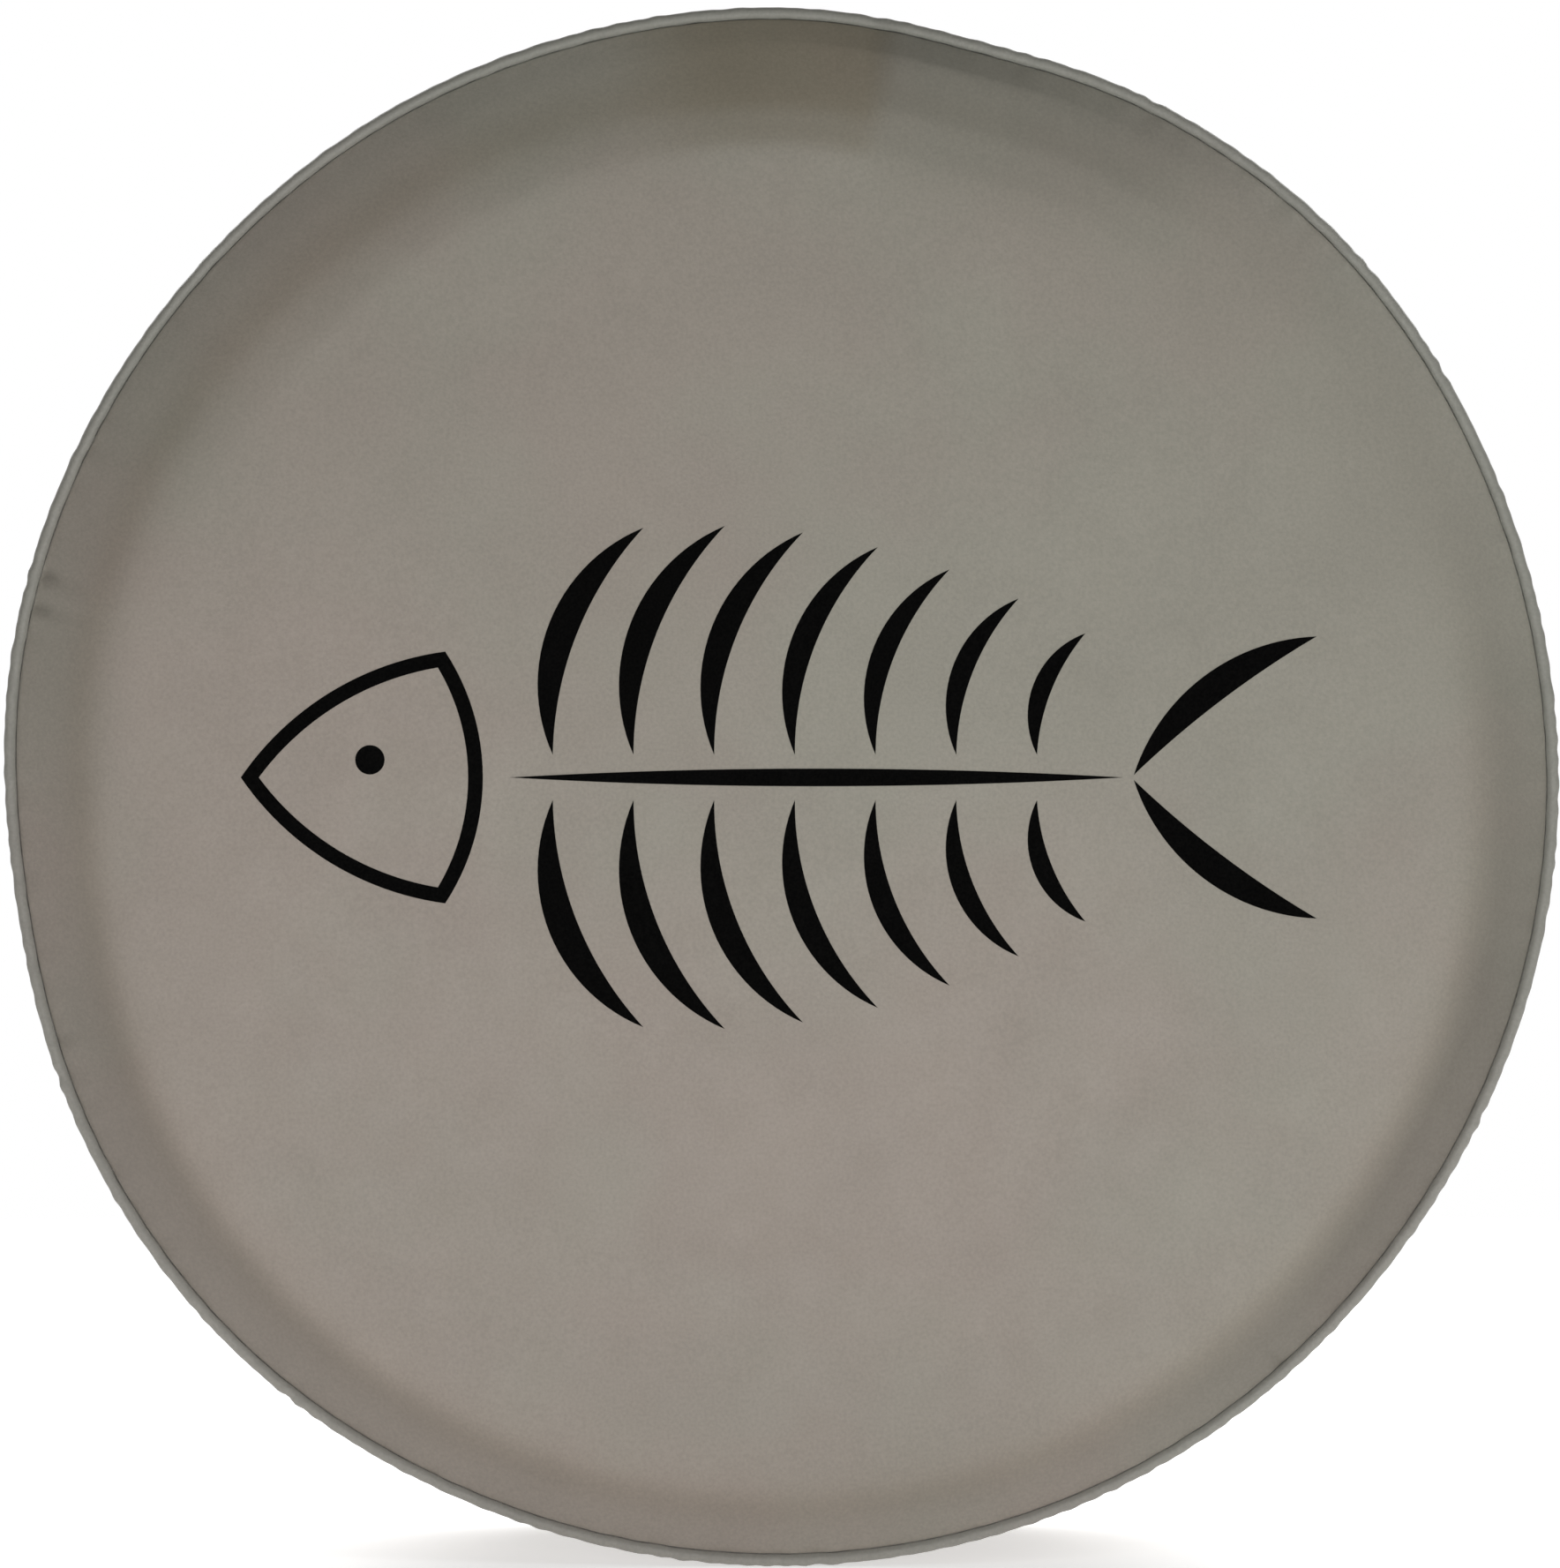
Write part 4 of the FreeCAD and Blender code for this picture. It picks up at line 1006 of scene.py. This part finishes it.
class Nodes:
    """A small helper that makes the nodes of a material or a world and joins them."""

    def __init__(self, name, kind="materials"):
        self.owner = getattr(bpy.data, kind).new(name)
        self.owner.use_nodes = True
        self.tree = self.owner.node_tree
        self.place = self.add("TexCoord", output="Object")

    def add(self, kind, inputs=(), output=0, **settings):
        """A new node's output. Its inputs are numbers, tuples of numbers or outputs of other nodes."""
        node = self.tree.nodes.new("ShaderNode" + kind)
        for name, value in settings.items():
            setattr(node, name, value)
        for socket, value in dict(inputs).items():
            self.join(value, node.inputs[socket])
        return node.outputs[output]

    def join(self, source, target):
        if isinstance(source, bpy.types.NodeSocket):
            self.tree.links.new(source, target)
        elif isinstance(source, tuple):
            target.default_value = (*source, 1.0)[: len(target.default_value)]
        else:
            target.default_value = source

    def noise(self, scale, detail=2.0):
        return self.add("TexNoise", {"Vector": self.place, "Scale": scale, "Detail": detail})

    def cells(self, scale):
        inputs = {"Vector": self.place, "Scale": scale, "Smoothness": 0.6}
        return self.add("TexVoronoi", inputs, feature="SMOOTH_F1")

    def bands(self, scale, direction, distortion=0.0):
        inputs = {"Vector": self.place, "Scale": scale, "Distortion": distortion}
        return self.add("TexWave", inputs, "Fac", bands_direction=direction)

    def painted(self, name):
        return self.add("Attribute", output="Fac", attribute_name=name)

    def stretch(self, value, low, high, new_low=0.0, new_high=1.0):
        inputs = {"Value": value, "From Min": low, "From Max": high, "To Min": new_low, "To Max": new_high}
        return self.add("MapRange", inputs)

    def maths(self, operation, a, b):
        return self.add("Math", {0: a, 1: b}, operation=operation)

    def times(self, a, b):
        return self.maths("MULTIPLY", a, b)

    def vectors(self, operation, inputs, output=0):
        return self.add("VectorMath", inputs, output, operation=operation)

    def mix(self, factor, a, b):
        return self.add("Mix", {0: factor, 6: a, 7: b}, 2, data_type="RGBA")

    def stained(self, colour, name, tint):
        """A colour multiplied by a tint where a mesh is painted so."""
        return self.vectors("MULTIPLY", {0: colour, 1: self.mix(self.painted(name), (1.0, 1.0, 1.0), tint)})

    def bump(self, height, distance, strength):
        return self.add("Bump", {"Height": height, "Distance": distance, "Strength": strength})

    def finish(self, **inputs):
        """The material, with what its shader is given."""
        for name, value in inputs.items():
            self.join(value, self.tree.nodes["Principled BSDF"].inputs[name.replace("_", " ")])
        return self.owner

    def toned(self, mask, dark, light, rough, normal, **inputs):
        """The material in two tones."""
        return self.finish(Base_Color=self.mix(mask, dark, light), Roughness=rough, Normal=normal, **inputs)


def vinyl_material(name, warm, green, grain):
    """Soft vinyl with a fine leather grain and a tone that wanders. Its back is a pale knit."""
    n = Nodes(name)
    greener = n.maths("ADD", n.vectors("DOT_PRODUCT", {0: n.place, 1: (1.1, 0, 1.3)}, "Value"), 0.52)
    patches = n.maths("ADD", n.stretch(n.noise(5.5, 3.0), 0.38, 0.62, -0.4, 0.4), greener)
    speckle = n.stretch(n.noise(620, 3.0), 0.3, 0.7, 0.93, 1.07)
    soil = n.stretch(n.noise(21, 4.0), 0.3, 0.7, 0.97, 1.03)
    tone = n.vectors("SCALE", {0: n.mix(patches, warm, green), "Scale": n.times(speckle, soil)})
    # Where the meshes are painted so: browner with painted shade, darker with painted shade, and paler with
    # painted light.
    tone = n.stained(tone, "brown", (0.80, 0.755, 0.68))
    tone = n.stained(tone, "dull", (0.60, 0.603, 0.59))
    tone = n.stained(tone, "dust", (1.31, 1.35, 1.39))
    back = n.painted("lining")
    knit = n.times(n.cells(640), n.noise(1300, 1.0))
    knitted = n.mix(n.stretch(knit, 0.1, 0.4), (0.38, 0.37, 0.345), (0.46, 0.45, 0.425))
    rough = n.stretch(n.noise(48, 3.0), 0.3, 0.7, 0.50, 0.60)
    rough = n.maths("MAXIMUM", rough, n.times(back, 0.95))
    pores = n.maths("ADD", n.cells(grain), n.times(n.noise(grain * 2.4), 0.6))
    height = n.times(n.maths("SUBTRACT", 1.0, back), pores)
    height = n.maths("ADD", n.times(back, knit), height)
    shine = {"Specular_IOR_Level": 0.38, "Sheen_Weight": 0.05, "Sheen_Roughness": 0.5}
    return n.toned(back, tone, knitted, rough, n.bump(height, 0.12 * MM, 0.55), **shine)


def woven_material(name, dark, light, scale, roughness, depth):
    """A plain weave in two tones."""
    n = Nodes(name)
    weave = n.times(n.bands(scale, "X", 0.4), n.bands(scale, "Z", 0.4))
    weave = n.maths("MAXIMUM", weave, n.times(n.bands(scale, "Y", 0.4), 0.8))
    worn = n.stretch(n.noise(60, 3.0), 0.3, 0.7, 1.0, 0.65)
    rough = n.stretch(weave, 0.0, 1.0, roughness, roughness - 0.12)
    return n.toned(n.times(weave, worn), dark, light, rough, n.bump(weave, depth, 0.7), Sheen_Weight=0.15)


def ink_material():
    """Screen ink: nearly black, with the vinyl's grain showing through."""
    n = Nodes("ink_print")
    dark, light, worn = (0.0008, 0.0008, 0.0008), (0.0026, 0.0025, 0.0023), n.stretch(n.noise(900), 0.35, 0.7)
    rough = n.stretch(n.noise(70, 3.0), 0.3, 0.7, 0.62, 0.74)
    return n.toned(worn, dark, light, rough, n.bump(n.cells(900), 0.06 * MM, 0.5), Specular_IOR_Level=0.02)


def metal_material():
    """Nickelled brass, dulled by handling."""
    n = Nodes("metal_plated")
    dark, light, worn = (0.60, 0.585, 0.56), (0.74, 0.73, 0.71), n.stretch(n.noise(160, 4.0), 0.35, 0.7)
    rough = n.stretch(n.noise(700, 3.0), 0.3, 0.7, 0.22, 0.42)
    return n.toned(worn, dark, light, rough, n.bump(n.noise(2200), 0.02 * MM, 0.4), Metallic=1.0)


def thread_material():
    """Twisted polyester thread."""
    n = Nodes("thread_twisted")
    dark, light, twist = (0.115, 0.108, 0.094), (0.235, 0.222, 0.198), n.bands(900, "DIAGONAL", 1.0)
    rough = n.stretch(twist, 0.0, 1.0, 0.55, 0.42)
    return n.toned(twist, dark, light, rough, n.bump(twist, 0.08 * MM, 0.8), Sheen_Weight=0.2)


# Putting the cover together


TAPE_TONES, LABEL_TONES = ((0.10, 0.095, 0.085), (0.23, 0.22, 0.195)), ((0.62, 0.61, 0.58), (0.78, 0.77, 0.74))
BRAID_TONES, CORE_TONES = ((0.012, 0.012, 0.012), (0.05, 0.05, 0.05)), ((0.55, 0.54, 0.50), (0.76, 0.75, 0.71))
MATERIALS = {
    "vinyl": vinyl_material("vinyl_grained", (0.250, 0.216, 0.184), (0.230, 0.218, 0.180), 820),
    "piping": vinyl_material("vinyl_piping", (0.230, 0.219, 0.195), (0.219, 0.217, 0.189), 900),
    "tape": woven_material("tape_woven", *TAPE_TONES, 420, 0.9, 0.2 * MM),
    "label": woven_material("label_satin", *LABEL_TONES, 700, 0.75, 0.08 * MM),
    "elastic": woven_material("elastic_braid", *BRAID_TONES, 330, 0.8, 0.15 * MM),
    "cord_core": woven_material("cord_core", *CORE_TONES, 380, 0.8, 0.1 * MM),
    "thread": thread_material(),
    "ink": ink_material(),
    "metal": metal_material(),
}


def coat(item, slot):
    item.data.materials.clear()
    item.data.materials.append(MATERIALS[slot])


def finish_piece(item, slot, *nodes):
    coat(item, slot)
    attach(item, "root")
    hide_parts(*nodes)
    return item


face = finish_piece(make_face(*settle_face()), "vinyl", "face_panel")
drains = [(spin(np.array(BAND_R), 0, np.array(a)), DRAIN_HOLE) for a in DRAIN_ANGLES]
right = finish_piece(make_band("band_right_sewn", JOINS[1] - TURN, JOINS[0], drains), "vinyl", "band_right_panel")
left = finish_piece(make_band("band_left_sewn", *JOINS), "vinyl", "band_left_panel")
welt = finish_piece(make_welt(), "piping", "welt_cover")
finish_piece(make_cord(), "cord_core", "welt_cord")
binding = finish_piece(make_binding(), "tape", "seam_binding")
casing = finish_piece(make_casing(), "vinyl", "hem_casing")
finish_piece(make_elastic(), "elastic", "elastic_cord")
tapes = [
    finish_piece(make_join_tape(f"join_tape_{name}_sewn", join), "tape", f"join_tape_{name}")
    for name, join in zip(("top", "bottom"), JOINS)
]
tabs = [
    finish_piece(make_tab(f"lock_tab_{name}_sewn", middle), "vinyl", f"lock_tab_{name}")
    for name, middle in zip(("left", "right"), TAB_ANGLES)
]
care_label = finish_piece(make_label(), "label", "care_label")
for name, rows in (("seam", seam_rows()), ("hem", hem_rows()), ("join", join_rows()), ("tab", tab_rows())):
    finish_piece(make_stitches(f"{name}_thread", rows), "thread", f"{name}_stitches")
graphic = finish_piece(make_print(face), "ink", "fish_print")

# The frame's metal parts, in plated metal

for node in ("elastic_crimp", "lock_eyelets", "lock_washers", "drain_eyelets", "drain_washers"):
    coat(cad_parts[node], "metal")

# The stage


def add_light(name, place, target, size, power):
    data = bpy.data.lights.new(name, "AREA")
    data.shape = "RECTANGLE"
    data.size, data.size_y = size
    data.energy = power
    item = bpy.data.objects.new(name, data)
    item.location = place
    item.rotation_euler = (Vector(target) - Vector(place)).to_track_quat("-Z", "Y").to_euler()
    item.visible_camera = False
    bpy.context.scene.collection.objects.link(item)


def make_floor(floor_z):
    """A round pale floor that fades into the background away from the cover."""
    rings, count = [0.15, 0.5, 0.9, 1.4, 2.0, 2.6], 96
    x, z, y = spin(np.repeat(rings, count), floor_z, np.tile(turn_angles(count), len(rings))).T
    faces = grid_faces(len(rings), count, True) + [tuple(range(count))]
    item = new_object("stage_floor", np.stack([x, y, z], axis=1), faces)
    n = Nodes("stage_paper")
    reach = n.vectors("LENGTH", {0: n.place}, "Value")
    n.finish(Alpha=n.stretch(reach, 0.9, 2.5, 1.0, 0.0), Emission_Color=(1.0, 1.0, 1.0), Emission_Strength=0.5)
    rough = n.stretch(n.noise(90), 0.3, 0.7, 0.85, 0.95)
    grain = n.bump(n.noise(300), 0.1 * MM, 0.2)
    paper = n.toned(n.noise(2.0), (0.80, 0.80, 0.80), (0.83, 0.83, 0.83), rough, grain)
    item.data.materials.append(paper)
    item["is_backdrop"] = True


def make_world():
    """White for the camera. The light is dim in front and above, brighter below, and strong behind."""
    n = Nodes("studio", "worlds")
    way = n.add("TexCoord", output="Generated")
    back, up = (n.add("SeparateXYZ", {0: way}, axis) for axis in "YZ")
    front = n.stretch(up, -0.7, 0.5, 0.55, 0.12)
    light = n.add("Background", {"Strength": n.stretch(back, 0.15, 0.6, front, 1.1)})
    shown = n.add("Background", {"Color": (1.0, 1.0, 1.0)})
    seen = n.add("LightPath", output="Is Camera Ray")
    n.join(n.add("MixShader", {0: seen, 1: light, 2: shown}), n.tree.nodes["World Output"].inputs["Surface"])
    bpy.context.scene.world = n.owner


def make_camera():
    """Straight on to the face, as wide as the photograph frames it."""
    distance = 3.2
    data = bpy.data.cameras.new("camera")
    data.sensor_fit = "HORIZONTAL"
    data.sensor_width = 36.0
    data.lens = data.sensor_width * (distance + SEAM_Y) / (2 * WELT_R * 1.0005)
    item = bpy.data.objects.new("camera", data)
    item.location = (0.6 * MM, -distance, 0.9 * MM)
    item.rotation_euler = (math.pi / 2, 0, 0)
    bpy.context.scene.collection.objects.link(item)
    bpy.context.scene.camera = item


make_floor(min(v.co.z for v in welt.data.vertices))
make_world()
make_camera()
add_light("key", (0.03, -1.45, -0.2), (0, -0.1, -0.15), (1.5, 0.3), 9.5)
add_light("fill", (2.0, -2.0, 1.6), (0, -0.1, 0), (1.2, 1.2), 19)
add_light("floor_left", (-2.2, 2.4, 2.4), (-0.4, 0.6, -0.37), (1.6, 1.6), 90)
add_light("floor_right", (2.2, 2.4, 2.4), (0.4, 0.6, -0.37), (1.6, 1.6), 90)
bpy.context.scene.view_settings.view_transform = "Standard"

boxes = {"cad": cad_bounds, "visual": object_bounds()}
{name: [list(corner) for corner in box] for name, box in boxes.items()}
